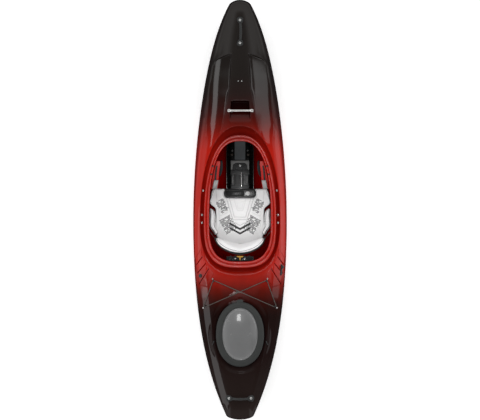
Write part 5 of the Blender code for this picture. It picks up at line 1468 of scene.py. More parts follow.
def makeSeatPad():
    n, m = 190, 200
    u = np.linspace(-1, 1, n)[None]
    v = np.linspace(-1, 1, m)[:, None]
    y = (seat["front"] + seat["rear"]) / 2 + v * (seat["front"] - seat["rear"]) / 2 + 0 * u
    half = curve(seat["side"], y)
    round4 = 1 - 0.05 * np.abs(v) ** 12
    x = u * half * round4
    notch = rectDistance(x, y, -0.1065, 0.1065, 0.0765, 0.180, 0.024)
    push = np.clip(-notch, 0, None)
    y = y - push * (v > 0) * (np.abs(x) < 0.1075)
    base = seatTop(x, y) + 0.0003
    toEnds = (1 - np.abs(v)) * (seat["front"] - seat["rear"]) / 2
    edge = np.minimum(np.minimum((1 - np.abs(u)) * half, toEnds), np.clip(notch, 0, None) + 1e-5)
    roll = np.sqrt(np.clip(1 - (1 - np.clip(edge / 0.011, 0, 1)) ** 2, 0, 1))
    tall = seat["pad"] * (0.30 + 0.70 * roll)
    tall = tall - channelDepth(x, y, seat["channels"]) * np.clip(edge / 0.008, 0, 1)
    ahead = smooth((y + 0.045) / 0.02)
    tall = tall - 0.0030 * smooth((0.0375 - np.abs(x) + 0.27 * (y + 0.05)) / 0.02) * ahead
    tall = tall + 0.0012 * np.sin(y * 90) * np.cos(x * 60) * smooth((edge - 0.01) / 0.02)
    top = np.stack([x, y, base + np.maximum(tall, 0.0025)], axis=-1)
    low = np.stack([x, y, base], axis=-1)
    verts = np.concatenate([top.reshape(-1, 3), low.reshape(-1, 3)])
    faces = np.concatenate([gridFaces(m, n), gridFaces(m, n, start=m * n)[:, ::-1]]).tolist()
    rim = list(range(n)) + [j * n + n - 1 for j in range(1, m)]
    rim += [(m - 1) * n + i for i in range(n - 2, -1, -1)] + [j * n for j in range(m - 2, 0, -1)]
    faces += [[a, b, b + m * n, a + m * n] for a, b in zip(rim, rim[1:] + rim[:1])]
    pad = meshPiece("seatPadFine", verts, faces, 55, verts[:, :2])
    points = meshPoints(pad)
    # painted shade: the cover darker in the sewn channels and at the pad's front left corner
    dips = channelDepth(points[:, 0], points[:, 1], seat["channels"])
    paintedCornerShade = 0.22 * smooth((-points[:, 0] - 0.105) / 0.06) * smooth((points[:, 1] - 0.03) / 0.07)
    markPoints(pad, "seam", np.clip(dips / 0.0042, 0, 1) ** 1.5 * 0.55 + paintedCornerShade)
    settle(pad, seatFabric, "shell", ["seat_pad"])
    # black binding along the pad's outer edge
    right = low[:, -1] + [0.0004, 0, 0.0042]
    for side, word in ((1, "Right"), (-1, "Left")):
        line = right[4:-2] * [side, 1, 1]
        obj = loftPiece("seatBinding" + word, sweepLoops(line, circle(0.0022, 10)), angle=60)
        settle(obj, blackBinding, "shell")


# 1 where a value is within reach of a middle value, else 0
def near(tree, value, middle, reach):
    return mathNode(tree, "LESS_THAN", mathNode(tree, "ABSOLUTE", minus(tree, value, middle)), reach)


# white cover with dark dashes: cells along slanted rows, dark where a cell's own random value is high
def makeSeatFabric():
    mat, tree, shader = newFinish("seatFabric", (0.82, 0.82, 0.82))
    axes = tree.nodes.new("ShaderNodeSeparateXYZ")
    tree.links.new(objectCoords(tree), axes.inputs[0])
    ax = mathNode(tree, "ABSOLUTE", axes.outputs[0])
    y = axes.outputs[1]
    along = plus(tree, times(tree, ax, 0.50), times(tree, y, 0.87))
    across = minus(tree, times(tree, ax, 0.87), times(tree, y, 0.50))
    row = times(tree, along, 1 / 0.0058)
    rowAt = mathNode(tree, "FLOOR", row)
    column = plus(tree, times(tree, across, 1 / 0.0082), times(tree, rowAt, 0.37))
    columnAt = mathNode(tree, "FLOOR", column)
    # the middle of the cell that a point lies in, so that the bands take whole cells
    along = times(tree, plus(tree, rowAt, 0.5), 0.0058)
    across = times(tree, minus(tree, plus(tree, columnAt, 0.5),
                      times(tree, rowAt, 0.37)), 0.0082)
    cell = tree.nodes.new("ShaderNodeCombineXYZ")
    tree.links.new(rowAt, cell.inputs[0])
    tree.links.new(columnAt, cell.inputs[1])
    chance = tree.nodes.new("ShaderNodeTexWhiteNoise")
    tree.links.new(cell.outputs[0], chance.inputs["Vector"])
    dash = times(tree, mathNode(tree, "GREATER_THAN", mathNode(tree, "FRACT", row), 0.26),
                    mathNode(tree, "GREATER_THAN", mathNode(tree, "FRACT", column), 0.16))
    dash = times(tree, dash, mathNode(tree, "GREATER_THAN", chance.outputs["Value"], 0.20))
    # two slanted bands, and stripes across the rear
    bandA = times(tree, near(tree, across, 0.088, 0.027), near(tree, along, 0.078, 0.044))
    bandB = times(tree, near(tree, across, 0.116, 0.040), near(tree, along, -0.046, 0.050))
    dashes = times(tree, mathNode(tree, "MAXIMUM", bandA, bandB), dash)
    slant = minus(tree, y, times(tree, ax, 0.55))
    stripe = mathNode(tree, "GREATER_THAN", mathNode(tree, "FRACT", times(tree, slant, 1 / 0.030)), 0.52)
    stripe = times(tree, stripe, mathNode(tree, "LESS_THAN", ax, 0.070))
    stripe = times(tree, stripe, near(tree, slant, -0.133, 0.030))
    printed = mathNode(tree, "MAXIMUM", dashes, stripe)
    weave = groupNode(tree, weaveGroup, Threads=1100.0)
    tree.links.new(objectCoords(tree), weave.inputs["Vector"])
    grainNode = groupNode(tree, grainGroup, Scale=260.0)
    white = mixColour(tree, grainNode.outputs["Patches"], (0.88, 0.88, 0.88), (0.95, 0.95, 0.95))
    # painted shade from the seam attribute, then the threads' tops a little lighter as painted highlight
    white = mixColour(tree, attributeValue(tree, "seam"), white, (0.30, 0.30, 0.31))
    white = mixColour(tree, times(tree, weave.outputs["Shade"], 0.10), white, (0.95, 0.95, 0.95))
    base = mixColour(tree, printed, white, (0.020, 0.020, 0.021))
    tree.links.new(base, shader.inputs["Base Color"])
    tree.links.new(plus(tree, times(tree, grainNode.outputs["Patches"], 0.14), 0.42),
                   shader.inputs["Roughness"])
    shader.inputs["Specular IOR Level"].default_value = 0.30
    tall = plus(tree, weave.outputs["Height"], times(tree, grainNode.outputs["Height"], 2.0))
    tree.links.new(bumpNode(tree, tall, 0.00016), shader.inputs["Normal"])
    return mat


seatFabric = makeSeatFabric()
whiteVinyl = moulded("whiteVinyl", (0.80, 0.80, 0.80), 0.46, specular=0.3, grain=700.0, depth=0.00010,
                     cloud=0.06)
blackBinding = moulded("blackBinding", (0.016, 0.016, 0.017), 0.60, specular=0.25, grain=1200.0, depth=0.0002)
makeSeatPad()


# plate ahead of the pad with its sunk strip, its round knob, and the arrow beside it
seatPlate = {
    "outline": (-0.105, 0.105, 0.078, 0.135, 0.022, 8),
    "well": (-0.094, 0.030, 0.0875, 0.1260, 0.014, 8),
    "ribs": (0.0945, 0.1040, 0.1135),
    "ribEnds": (-0.086, 0.022),
    "knob": (0.051, 0.107),
    # the knob's outline: radius, and depth below its top
    "knobBands": [(0.0005, 0.0022), (0.0045, 0.0022), (0.0052, 0.0006), (0.0100, 0.0003),
                  (0.0122, 0.0009), (0.0136, 0.0024), (0.0142, 0.0046)],
    "knobGrips": 12,
    "arrow": [(0.0700, 0.0985), (0.0790, 0.0985), (0.0870, 0.1070), (0.0790, 0.1155), (0.0700, 0.1155),
              (0.0740, 0.1070)],
}


def makeSeatPlate():
    low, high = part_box("seat_plate")
    top = high[2]
    x0, x1 = seatPlate["ribEnds"]
    parts = [roundPlate("seatPlateFine", roundRect(*seatPlate["outline"]), low[2], top - 0.0012, 0.0045, 5),
             roundPlate("plateWell", roundRect(*seatPlate["well"]), top - 0.0022, top - 0.0004, 0.0007, 2)]
    for y in seatPlate["ribs"]:
        rib = roundRect(x0, x1, y, y + 0.0032, 0.0015, 3)
        parts.append(roundPlate("plateRib", rib, top - 0.0010, top + 0.0006, 0.0007, 2))
    settle(joinPieces("seatPlateFine", parts), glossBlack, "shell", ["seat_plate"])
    knobLow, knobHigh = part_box("plate_knob")
    z0, z1 = knobLow[2], knobHigh[2]
    x, y = seatPlate["knob"]
    t = np.linspace(0, 2 * pi, 72, endpoint=False)
    grips = 1 - 0.045 * (0.5 + 0.5 * np.cos(t * seatPlate["knobGrips"])) ** 3
    loops = []
    for r, z in [(r, z1 - drop) for r, drop in seatPlate["knobBands"]] + [(0.0143, z0), (0.0005, z0)]:
        far = r * (grips if r > 0.0118 else np.ones(len(t)))
        loops.append(np.column_stack([x + far * np.cos(t), y + far * np.sin(t), np.full(len(t), z)]))
    knob = loftPiece("knobTurn", loops)
    bar = roundRect(x - 0.0022, x + 0.0022, y - 0.0100, y + 0.0100, 0.0018)
    bar = roundPlate("knobBar", bar, z1 - 0.0020, z1 + 0.0012, 0.0007)
    settle(joinPieces("knobFine", [knob, bar]), palePlastic, "knob", ["plate_knob"])
    arrow = roundCorners(seatPlate["arrow"], 0.002, 3)
    arrow = roundPlate("plateArrow", arrow, top - 0.0016, top - 0.0002, 0.0005, 2)
    settle(arrow, greyPlastic, "shell")


makeSeatPlate()


# padded pieces, blown up a little by cloth pressure
puffSetup = {"pressure": 4.0, "frames": 20}


def evaluatedPoints(obj):
    graph = bpy.context.evaluated_depsgraph_get()
    graph.update()
    return vectorsOf(obj.evaluated_get(graph).data.vertices)


# voxel remesh, pressure for some frames with each point's travel capped, one subdivision
def puff(obj, voxel, cap):
    modified(obj, "REMESH", mode="VOXEL", voxel_size=voxel)
    start = evaluatedPoints(obj)
    cloth = obj.modifiers.new("air", "CLOTH")
    cloth.settings.use_pressure = True
    cloth.settings.uniform_pressure_force = puffSetup["pressure"]
    cloth.settings.effector_weights.gravity = 0
    cloth.settings.quality = 5
    cloth.collision_settings.use_collision = False
    for number in range(1, puffSetup["frames"] + 1):
        scene.frame_set(number)
    moved = evaluatedPoints(obj) - start
    far = np.linalg.norm(moved, axis=1)[:, None]
    obj.modifiers.clear()
    end = start + moved * np.minimum(1.0, cap / np.maximum(far, 1e-9))
    obj.data.vertices.foreach_set("co", end.ravel())
    scene.frame_set(1)
    modified(obj, "SUBSURF", levels=1, render_levels=1)
    shadeSmooth(obj)


hip = {"x": 0.2010, "middleY": -0.078, "reach": 0.088, "middleZ": 0.145}


# pad's sections are rounded boxes that swell between its ends, tucked in towards the backband
def hipSections(side, count=41, around=36, shrink=0.0015):
    v = np.linspace(-1, 1, count)
    y = hip["middleY"] + v * (hip["reach"] - shrink)
    swell = np.sqrt(np.clip(1 - np.abs(v) ** 4, 0, 1))
    thick = 0.010 + 0.028 * swell - 2 * shrink
    tall = 0.040 + 0.025 * swell - shrink
    tuck = 0.034 * smooth((-0.098 - y) / 0.070)
    c, s = rounded(np.linspace(0, 2 * pi, around, endpoint=False), 0.6)
    x = (hip["x"] - 0.0003 - shrink - tuck - thick / 2)[:, None] + (thick / 2)[:, None] * c
    z = hip["middleZ"] + tall[:, None] * s
    return np.stack([side * x, np.broadcast_to(y[:, None], x.shape), z], axis=-1)


# thin round cord laid on a piece from above: its points are cast down onto the piece
def pipingOn(name, tree, points, radius, body):
    path = []
    for p in points:
        hit = tree.ray_cast(Vector(p + up * 0.05), Vector((0, 0, -1)))[0]
        path.append(p if hit is None else np.array(hit) + up * radius * 0.35)
    path = np.array(path)
    for _ in range(3):
        path[1:-1] = (path[:-2] + path[1:-1] * 2 + path[2:]) / 4
    obj = loftPiece(name, sweepLoops(path, circle(radius, 10)), angle=70)
    settle(obj, blackBinding, body)


def makeHipPads():
    for side, word in sides:
        loops = hipSections(side)
        pad = loftPiece("hipPad" + word, loops)
        puff(pad, 0.0045, 0.004)
        co = meshPoints(pad)
        limit = hip["x"] - 0.0004
        co[:, 0] = np.where(np.abs(co[:, 0]) > limit, side * limit, co[:, 0])
        # a seam across the middle of the upper half
        dip = 0.0022 * np.exp(-((co[:, 1] - hip["middleY"]) / 0.0028) ** 2)
        away = co - np.array([side * 0.182, hip["middleY"], hip["middleZ"]])
        away[:, 1] = 0
        away /= np.maximum(np.linalg.norm(away, axis=1), 1e-6)[:, None]
        setPoints(pad, co - away * (dip * (co[:, 2] > 0.10))[:, None])
        settle(pad, whiteVinyl, "shell", ["hip_pad_" + word.lower()])
        tree = treeOf(pad)
        y = np.linspace(hip["middleY"] - 0.083, hip["middleY"] + 0.083, 70)
        outer = np.interp(y, loops[:, 0, 1], np.abs(loops[:, :, 0]).max(axis=1))
        inner = np.interp(y, loops[:, 0, 1], np.abs(loops[:, :, 0]).min(axis=1))
        for share, label in ((0.16, "Outer"), (0.84, "Inner")):
            x = side * (outer + (inner - outer) * share)
            points = np.column_stack([x, y, np.full(len(y), 0.20)])
            pipingOn(f"hipPiping{label}{word}", tree, points, 0.0016, "shell")


makeHipPads()
print("seat and hip pads")

band = {"front": 0.031, "tall": 0.062, "back": -0.0060, "shellTall": 0.056, "middle": -0.2920,
        "sweep": 0.1070,
        "lean": 0.052}


def bandLine(s):
    x = 0.162 * np.sin(s * pi / 2 * 0.96) / math.sin(pi / 2 * 0.96)
    return x, band["middle"] + band["sweep"] * (s * s + 0.0004) ** 0.80


# backband sections: a rounded box leaning back over the band's curved line
def bandSections(front, back, swell, height, count=71, around=40):
    s = np.linspace(-1, 1, count)
    x, top = bandLine(s)
    x1, t1 = bandLine(np.minimum(s + 0.01, 1))
    x0, t0 = bandLine(np.maximum(s - 0.01, -1))
    way = np.column_stack([x1 - x0, t1 - t0])
    way /= np.linalg.norm(way, axis=1)[:, None]
    ahead = np.column_stack([-way[:, 1], way[:, 0]])
    fade = np.sqrt(np.clip(1 - np.abs(s) ** 5, 0, 1))
    tall = height * (0.30 + 0.70 * fade)
    midZ = 0.172 + 0.018 * s ** 2
    lean = band["lean"] * (1 - 0.7 * s * s)
    c, w = rounded(np.linspace(0, 2 * pi, around, endpoint=False), 0.6, 0.7)
    thick = front * (0.55 + 0.45 * fade) if swell else front * np.ones(count)
    thick = thick[:, None] * (1 - swell * w * w * 0.3)
    out = back + (c + 1) / 2 * (thick - back)
    shift = out + lean[:, None] * (1 - w) / 2
    return np.stack([x[:, None] + ahead[:, :1] * shift, top[:, None] + ahead[:, 1:] * shift,
                     midZ[:, None] + w * tall[:, None]], axis=-1)


def makeBackband():
    pad = loftPiece("backbandPad", bandSections(band["front"] - 0.003, 0.0018, 0.5, band["tall"] - 0.002))
    puff(pad, 0.0045, 0.005)
    co = meshPoints(pad)
    # slanted seams across the upper half
    for spot in (-0.115, -0.062, 0.062, 0.115):
        dip = 0.0020 * np.exp(-((co[:, 0] - spot * (1 + 0.8 * (co[:, 1] + 0.24))) / 0.0024) ** 2)
        co[:, 1] -= dip * 0.8 * (co[:, 1] > -0.262)
        co[:, 2] -= dip * 0.5 * (co[:, 2] > 0.20)
    setPoints(pad, co)
    settle(pad, seatFabric, "backband", ["backband_pad"])
    loops = bandSections(band["back"], -0.0009, 0.0, band["shellTall"], around=48)
    settle(loftPiece("backbandShell", loops, angle=60), blackPlastic, "backband",
           ["backband_shell"])
    tree = treeOf(pad)
    x, top = bandLine(np.linspace(-0.97, 0.97, 120))
    for label, share, ahead, radius in (("Rear", 1.0, 0.0035, 0.0026), ("Front", 0.985, 0.0185, 0.0011)):
        points = np.column_stack([x * share, top + ahead, np.full(120, 0.26)])
        pipingOn("bandPiping" + label, tree, points, radius, "backband")


makeBackband()
print("backband")


# straps and buckles

# flat strap on edge along a path in plan: thin box section with softened edges
def strapPiece(name, points, heights, halfTall, thick, body, stands, mirror):
    pts = np.array(points, float)
    run = runOf(pts)
    want = np.linspace(0, run[-1], 70)
    path = np.column_stack([curve(np.column_stack([run, pts[:, k]]).tolist(), want) for k in (0, 1)])
    z = np.interp(want, run, heights if np.ndim(heights) else np.full(len(run), heights))
    path = np.column_stack([mirror * path[:, 0], path[:, 1], z])
    section = roundRect(-thick / 2, thick / 2, -halfTall, halfTall, thick * 0.42, 2)
    obj = loftPiece(name, sweepLoops(path, section), angle=50)
    settle(obj, strapWebbing, body, stands)


# two-bar slide: a rounded frame with two windows
def buckle(name, spot, axes, half=(0.012, 0.009)):
    x, y = half
    parts = []
    for x0, x1 in ((-x, -x + 0.004), (-0.0018, 0.0018), (x - 0.004, x)):
        parts.append(roundPlate("bar", roundRect(x0, x1, -y, y, 0.0012, 3), 0.0, 0.0032, 0.0010, 2,
                                (spot, *axes)))
    for y0, y1 in ((-y, -y + 0.0032), (y - 0.0032, y)):
        parts.append(roundPlate("bar", roundRect(-x, x, y0, y1, 0.0012, 3), 0.0002, 0.0030, 0.0010, 2,
                                (spot, *axes)))
    settle(joinPieces(name, parts), blackPlastic, "backband")


# straps as points of one side in plan: the backband's, then the long side straps that drop to the seat
strapPaths = {
    "band": [(0.2152, -0.1050), (0.2152, -0.1200), (0.2085, -0.1330), (0.1980, -0.1475),
             (0.1840, -0.1655), (0.1715, -0.1800), (0.1680, -0.1868), (0.1643, -0.1960)],
    "side": [(0.1690, 0.1352), (0.1740, 0.1180), (0.1830, 0.0950), (0.1960, 0.0620), (0.2110, 0.0200),
             (0.2180, -0.0500), (0.2180, -0.1240)],
    "height": 0.195,
    "slide": (0.1905, -0.1570),
    "slideWay": (0.62, 0.78),
}


def makeStraps():
    height = strapPaths["height"]
    ahead, out = strapPaths["slideWay"]
    for side, word in sides:
        low = word.lower()
        strapPiece("bandStrap" + word, strapPaths["band"], height, 0.0100, 0.0024, "backband",
                   ["backband_strap_" + low], side)
        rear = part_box("side_strap_" + low)[1][2] - 0.007
        heights = [rear, rear - 0.018, rear - 0.045, rear - 0.058, 0.198, height, height]
        strapPiece("sideStrap" + word, strapPaths["side"], heights, 0.007, 0.0025, "shell",
                   ["side_strap_" + low], side)
        way = np.array([side * ahead, out, 0.0])
        away = np.array([-side * out, ahead, 0.0])
        x, y = strapPaths["slide"]
        buckle(f"strapSlide{word}0", np.array([side * x, y, height]) + away * 0.0016, (way, up, away))


strapWebbing = woven("strapWebbing", (0.075, 0.068, 0.062), 620.0)
makeStraps()


# thigh braces, ratchets and ladder straps
brace = {
    "start": (0.140, 0.2585), "end": (0.335, 0.2950), "lean": 0.186,
    # plans of one side: the plate's inner edge and the pad under it
    "inner": [(0.1310, 0.322), (0.1290, 0.300), (0.1350, 0.260), (0.1410, 0.205), (0.1430, 0.165),
              (0.1480, 0.138)],
    "pad": [(0.1300, 0.318), (0.1284, 0.300), (0.1341, 0.262), (0.1384, 0.222), (0.1330, 0.216),
            (0.1200, 0.238), (0.1120, 0.275), (0.1135, 0.308), (0.1190, 0.322)],
    # the ratchet's floor and cheeks: two places across, two heights and the corners' radius
    "ratchet": [(0.1520, 0.1812, 0.0053, 0.0072, 0.004), (0.1520, 0.1540, 0.0060, 0.0155, 0.0009),
                (0.1792, 0.1812, 0.0060, 0.0155, 0.0009)],
    "pins": (0.150, 0.178),
    # the ladder strap's two edges at three places along it
    "ladderY": (0.1956, 0.2450, 0.2900),
    "ladderOuter": (0.1675, 0.1635, 0.1580),
    "ladderInner": (0.1560, 0.1525, 0.1470),
    "teeth": 26,
}
slope = np.array([0.0, brace["end"][0] - brace["start"][0], brace["end"][1] - brace["start"][1]])
slope /= np.linalg.norm(slope)
bracePlace = (np.array([0.0, *brace["start"]]), np.array([1.0, 0, 0]), slope,
              np.array([0.0, -slope[2], slope[1]]))


def alongBrace(y):
    return (np.asarray(y, float) - brace["start"][0]) / slope[1]


# points across, along and out from the brace's plane, given in the boat's axes
def onBrace(points):
    return bracePlace[0] + np.asarray(points, float) @ np.array(bracePlace[1:])


def braceOutline(points, side):
    pts = np.array(points, float)
    return np.column_stack([side * pts[:, 0], alongBrace(pts[:, 1])])


def makeBrace(side, word):
    y = np.linspace(0.139, 0.321, 21)
    share = (y - cockpit["y"]) / cockpit["opening"][1]
    power = cockpit["openingPowers"][0]
    rimX = cockpit["opening"][0] * (1 - share ** power) ** (1 / power) - 0.0012
    inner = roundCorners(brace["inner"], 0.004, 3)[2:-2]
    outline = np.concatenate([np.column_stack([rimX, y]), inner])
    plate = roundPlate("thighBrace" + word, braceOutline(outline, side), 0.0, 0.0052, 0.0016, 3, bracePlace)
    lipPath = braceOutline(np.column_stack([rimX - 0.006, y]), side)
    lip = onBrace(np.column_stack([lipPath, np.full(len(y), 0.0052)]))
    ridge = loftPiece("braceRidge", sweepLoops(lip, circle(0.0034, 14), lean=bracePlace[3]), angle=60)
    settle(joinPieces("thighBrace" + word, [plate, ridge]), bracePlastic, "shell",
           ["thigh_brace_" + word.lower()])
    pad = roundCorners(brace["pad"], 0.006, 4)
    piece = roundPlate("thighPad" + word, braceOutline(pad, side), -0.026, 0.009, 0.0045, 5, bracePlace,
                       angle=60)
    settle(piece, blackFoam, "shell", ["thigh_pad_" + word.lower()])


# floor plate and two cheeks with two pins, and a spring lever with fine grip ribs
def makeRatchet(side, word):
    lean = brace["lean"]
    parts = []
    for x0, x1, z0, z1, radius in brace["ratchet"]:
        outline = roundRect(x0, x1, 0.139, 0.195, radius, 3)
        outline[:, 0] -= lean * (outline[:, 1] - 0.139)
        parts.append(roundPlate("cheek", braceOutline(outline, side), z0, z1, 0.0006, 2, bracePlace))
    for y in brace["pins"]:
        ring = circle(0.0018, 14)
        pin = [np.column_stack([np.full(14, side * (x - lean * (y - 0.139))), alongBrace(y) + ring[:, 0],
                                0.0118 + ring[:, 1]]) for x in (0.1512, 0.1820)]
        parts.append(loftPiece("pin", onBrace(pin), angle=40))
    settle(joinPieces("ratchetBase" + word, parts), ratchetSteel, "shell",
           ["ratchet_base_" + word.lower()])
    v = alongBrace(np.linspace(0.1440, 0.193, 30))
    s = np.linspace(0, 1, 30)
    ribs = 0.0006 * (0.5 + 0.5 * np.cos(s * 2 * pi * 7)) ** 2 * (s > 0.35)
    topZ = 0.0206 + 0.0012 * np.sin(s * pi) - ribs
    lowZ = 0.0160 + 0.0015 * smooth((s - 0.7) / 0.3)
    section = np.concatenate([np.column_stack([v, topZ]), np.column_stack([v[::-1], lowZ[::-1]])])
    middle = (topZ.mean() + lowZ.mean()) / 2
    loops = []
    for x, squeeze in ((0.1538, 0.6), (0.1544, 1.0), (0.1788, 1.0), (0.1794, 0.6)):
        loops.append(np.column_stack([side * (x - lean * section[:, 0]), section[:, 0],
                                      middle + (section[:, 1] - middle) * squeeze]))
    lever = loftPiece("ratchetLever" + word, onBrace(loops), angle=30)
    settle(lever, ratchetSteel, "lever_" + word.lower(), ["ratchet_lever_" + word.lower()])


# ladder strap with teeth across its length, between two slanted edges
def makeLadder(side, word):
    t = np.linspace(0, 1, 110)
    stops = brace["ladderY"]
    y = stops[0] + (stops[-1] - stops[0]) * t
    outer, inner = np.interp(y, stops, brace["ladderOuter"]), np.interp(y, stops, brace["ladderInner"])
    tooth = 0.0075 + 0.0012 * ((t * brace["teeth"]) % 1.0)
    floor = np.full(len(t), 0.0053)
    rows = [(0.0, tooth - 0.0016), (0.10, tooth - 0.0003), (0.16, tooth), (0.84, tooth),
            (0.90, tooth - 0.0003), (1.0, tooth - 0.0016), (1.0, floor), (0.0, floor)]
    loops = [np.column_stack([side * (outer + (inner - outer) * share), alongBrace(y), z]) for share,
             z in rows]
    ladder = loftPiece("ladderStrap" + word, onBrace(np.array(loops).transpose(1, 0, 2)), angle=30)
    settle(ladder, blackPlastic, "shell", ["ladder_strap_" + word.lower()])


def makeBraces():
    for side, word in sides:
        makeBrace(side, word)
        makeRatchet(side, word)
        makeLadder(side, word)


makeBraces()
print("straps and braces")


# console, pillar and the pieces inside the hull

# tray with its frame, block and rod, as plans in metres; the tray's section is given as half width and height
# over its floor, then over its top
consoleShape = {
    "floor": [(0.0, 0.0), (0.080, 0.0), (0.0875, 0.004), (0.0900, 0.011)],
    "lip": [(0.0900, 0.0012), (0.0890, 0.0), (0.0865, 0.0), (0.0850, 0.0015), (0.0800, 0.020)],
    "inside": [(0.0660, 0.012), (0.0600, 0.0055), (0.052, 0.0040), (0.0, 0.0040)],
    "frame": [(-0.061, 0.3240), (-0.061, 0.2620), (-0.050, 0.2620), (-0.046, 0.2950), (-0.030, 0.3080),
              (0.030, 0.3080), (0.046, 0.2950), (0.050, 0.2620), (0.061, 0.2620), (0.061, 0.3240)],
    "block": [(-0.062, 0.2610), (-0.062, 0.2330), (-0.034, 0.2330), (-0.034, 0.1620), (-0.060, 0.1560),
              (-0.060, 0.1420), (0.060, 0.1420), (0.060, 0.1560), (0.022, 0.1620), (0.022, 0.2330),
              (0.062, 0.2330), (0.062, 0.2610)],
    "cap": (-0.030, 0.000, 0.166, 0.228, 0.004, 4),
    "bar": (-0.058, 0.058, 0.2365, 0.2575, 0.004, 4),
    "rod": {"x": 0.0095, "ends": (0.152, 0.246), "radius": 0.0036},
    "sideBars": ((-0.049, "Left"), (0.047, "Right")),
}


def makeConsole():
    low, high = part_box("console")
    z0, z1 = low[2], high[2]
    half = [(x, z0 + h) for x, h in consoleShape["floor"]] + [(x, z1 - h) for x, h in consoleShape["lip"]]
    section = bothHalves(np.array(half + [(x, z0 + h) for x, h in consoleShape["inside"]]))
    y0, y1 = low[1], high[1]
    y = np.concatenate([[y0, y0 + 0.0006, y0 + 0.002], np.linspace(y0 + 0.01, y1 - 0.03, 12),
                        [y1 - 0.012, y1 - 0.004, y1 - 0.0008, y1]])
    taper = 1 - 0.10 * smooth((y - (y1 - 0.07)) / 0.07)
    shape = (len(y), len(section))
    loops = np.stack([section[None, :, 0] * taper[:, None], np.broadcast_to(y[:, None], shape),
                      np.broadcast_to(section[None, :, 1], shape)], axis=-1)
    settle(loftPiece("consoleTray", loops), glossBlack, "shell", ["console"])
    frameLow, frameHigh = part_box("console_frame")
    plan = roundCorners(consoleShape["frame"], 0.005, 4)
    piece = roundPlate("consoleFrame", plan, frameLow[2], frameHigh[2], 0.0028, 4)
    settle(piece, framePlastic, "shell", ["console_frame"])
    blockLow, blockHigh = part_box("console_block")
    top = blockHigh[2]
    plan = roundCorners(consoleShape["block"], 0.0035, 3)
    parts = [roundPlate("consoleBlock", plan, blockLow[2], top - 0.0015, 0.0022, 3),
             roundPlate("blockCap", roundRect(*consoleShape["cap"]), top - 0.003, top + 0.0005, 0.0014, 2),
             roundPlate("blockBar", roundRect(*consoleShape["bar"]), top - 0.003, top, 0.0014, 2)]
    settle(joinPieces("consoleBlock", parts), darkPlastic, "shell", ["console_block"])
    rod = consoleShape["rod"]
    line = np.column_stack([np.full(20, rod["x"]), np.linspace(*rod["ends"], 20), np.full(20, top + 0.0018)])
    piece = loftPiece("consoleRod", sweepLoops(line, circle(rod["radius"], 16)), angle=40)
    settle(piece, brightSteel, "shell")
    for x, word in consoleShape["sideBars"]:
        plan = roundRect(x - 0.006, x + 0.006, 0.172, 0.222, 0.0025, 3)
        piece = roundPlate("consoleSideBar" + word, plan, z0 + 0.0040, top - 0.006, 0.0018, 3)
        settle(piece, greyPlastic, "shell")
    floorZ = z0 + 0.0060
    for side, word in sides:
        boltPiece("trayBolt" + word, (side * 0.050, 0.388, floorZ), radius=0.0050, height=0.0030,
                  mat=greyPlastic)
        plan = roundRect(side * 0.053 - 0.008, side * 0.053 + 0.008, 0.354, 0.368, 0.002, 3)
        piece = roundPlate("trayClip" + word, plan, floorZ - 0.001, floorZ + 0.010, 0.0015, 3)
        settle(piece, clipPlastic, "shell")
    boltPiece("frameBolt", (0.0, 0.290, z0 + 0.0045), radius=0.0055, height=0.0035)


framePlastic = moulded("framePlastic", (0.155, 0.155, 0.150), 0.36, specular=0.4)
darkPlastic = moulded("darkPlastic", (0.040, 0.041, 0.041), 0.40, specular=0.35)
clipPlastic = moulded("clipPlastic", (0.060, 0.042, 0.034), 0.50, specular=0.3)
makeConsole()
refined("front_pillar", greyFoam, width=0.004, segments=4)
refined("rear_bulkhead", greyFoam, width=0.003, segments=3, angle=50)
refined("back_base", glossBlack, width=0.0016, segments=3)
refined("base_tab", yellowWebbing, width=0.0007, segments=2)
for side, word in sides:
    boltPiece("baseBolt" + word, (side * 0.031, -0.322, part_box("back_base")[1][2] - 0.0004), radius=0.0042,
              height=0.0026)
for word in ("left", "right"):
    refined("foot_rail_" + word, satinAlu, width=0.0008)
    refined("foot_pedal_" + word, blackPlastic, body="pedal_" + word, width=0.0015,
            segments=3)
    refined("hip_plate_" + word, blackPlastic, width=0.0008)
refined("seat_pan", blackPlastic, width=0.0015)
refined("skeg_box", blackPlastic, width=0.0008)
refined("skeg_blade", blackPlastic, body="skeg", width=0.0018, segments=3)
refined("drain_seat", blackPlastic, width=0.0006)
refined("drain_plug", softRubber, body="drain", width=0.0008, segments=3)
refined("skeg_cleat", blackPlastic, width=0.0012, segments=3)
refined("skeg_knob", blackPlastic, width=0.0012, segments=3)
print("console and inner pieces")


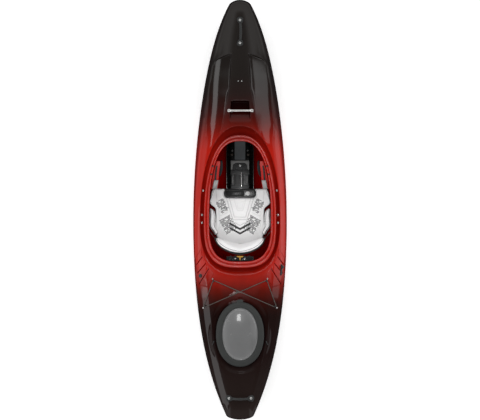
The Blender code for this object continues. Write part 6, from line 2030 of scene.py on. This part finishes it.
# floor
floorSetup = {"reach": 9, "height": -0.0005, "shade": 0.93, "rough": 0.9, "glow": 0.42}


def makeFloor():
    reach = floorSetup["reach"]
    corners = [(x * reach, y * reach, floorSetup["height"]) for x, y in ((-1, -1), (1, -1), (1, 1), (-1, 1))]
    floor = meshPiece("studioFloor", corners, [[0, 1, 2, 3]])
    mat = bpy.data.materials.new("paleFloor")
    mat.use_nodes = True
    tree = mat.node_tree
    shader = tree.nodes["Principled BSDF"]
    shader.inputs["Base Color"].default_value = (*[floorSetup["shade"]] * 3, 1)
    shader.inputs["Roughness"].default_value = floorSetup["rough"]
    shader.inputs["Specular IOR Level"].default_value = 0.0
    glow = tree.nodes.new("ShaderNodeEmission")
    glow.inputs["Strength"].default_value = floorSetup["glow"]
    path = tree.nodes.new("ShaderNodeLightPath")
    seen = mathNode(tree, "MAXIMUM", path.outputs["Is Camera Ray"], path.outputs["Is Glossy Ray"])
    seen = mathNode(tree, "MAXIMUM", seen, path.outputs["Is Transmission Ray"])
    both = tree.nodes.new("ShaderNodeAddShader")
    mix = tree.nodes.new("ShaderNodeMixShader")
    tree.links.new(shader.outputs[0], both.inputs[0])
    tree.links.new(glow.outputs[0], both.inputs[1])
    tree.links.new(seen, mix.inputs[0])
    tree.links.new(shader.outputs[0], mix.inputs[1])
    tree.links.new(both.outputs[0], mix.inputs[2])
    tree.links.new(mix.outputs[0], tree.nodes["Material Output"].inputs["Surface"])
    floor.data.materials.append(mat)


makeFloor()

plainFinish = {
    "black_plastic": blackPlastic, "grey_plastic": greyPlastic, "dark_rubber": softRubber,
    "grey_foam": greyFoam, "steel": brightSteel, "aluminium": satinAlu, "brace_red": bracePlastic,
    "hull_red": shellFinish, "deck_red": shellFinish, "white_pad": palePlastic, "black_pad": blackFoam,
    "black_webbing": blackWebbing, "yellow_webbing": yellowWebbing, "cord": blackWebbing,
}
slotOf = {row["node"]: row["material_slot"] for row in frame["record"]["subparts"]}
for nodeName, obj in frame["nodes"].items():
    obj.data.materials.clear()
    obj.data.materials.append(plainFinish[slotOf[nodeName]])
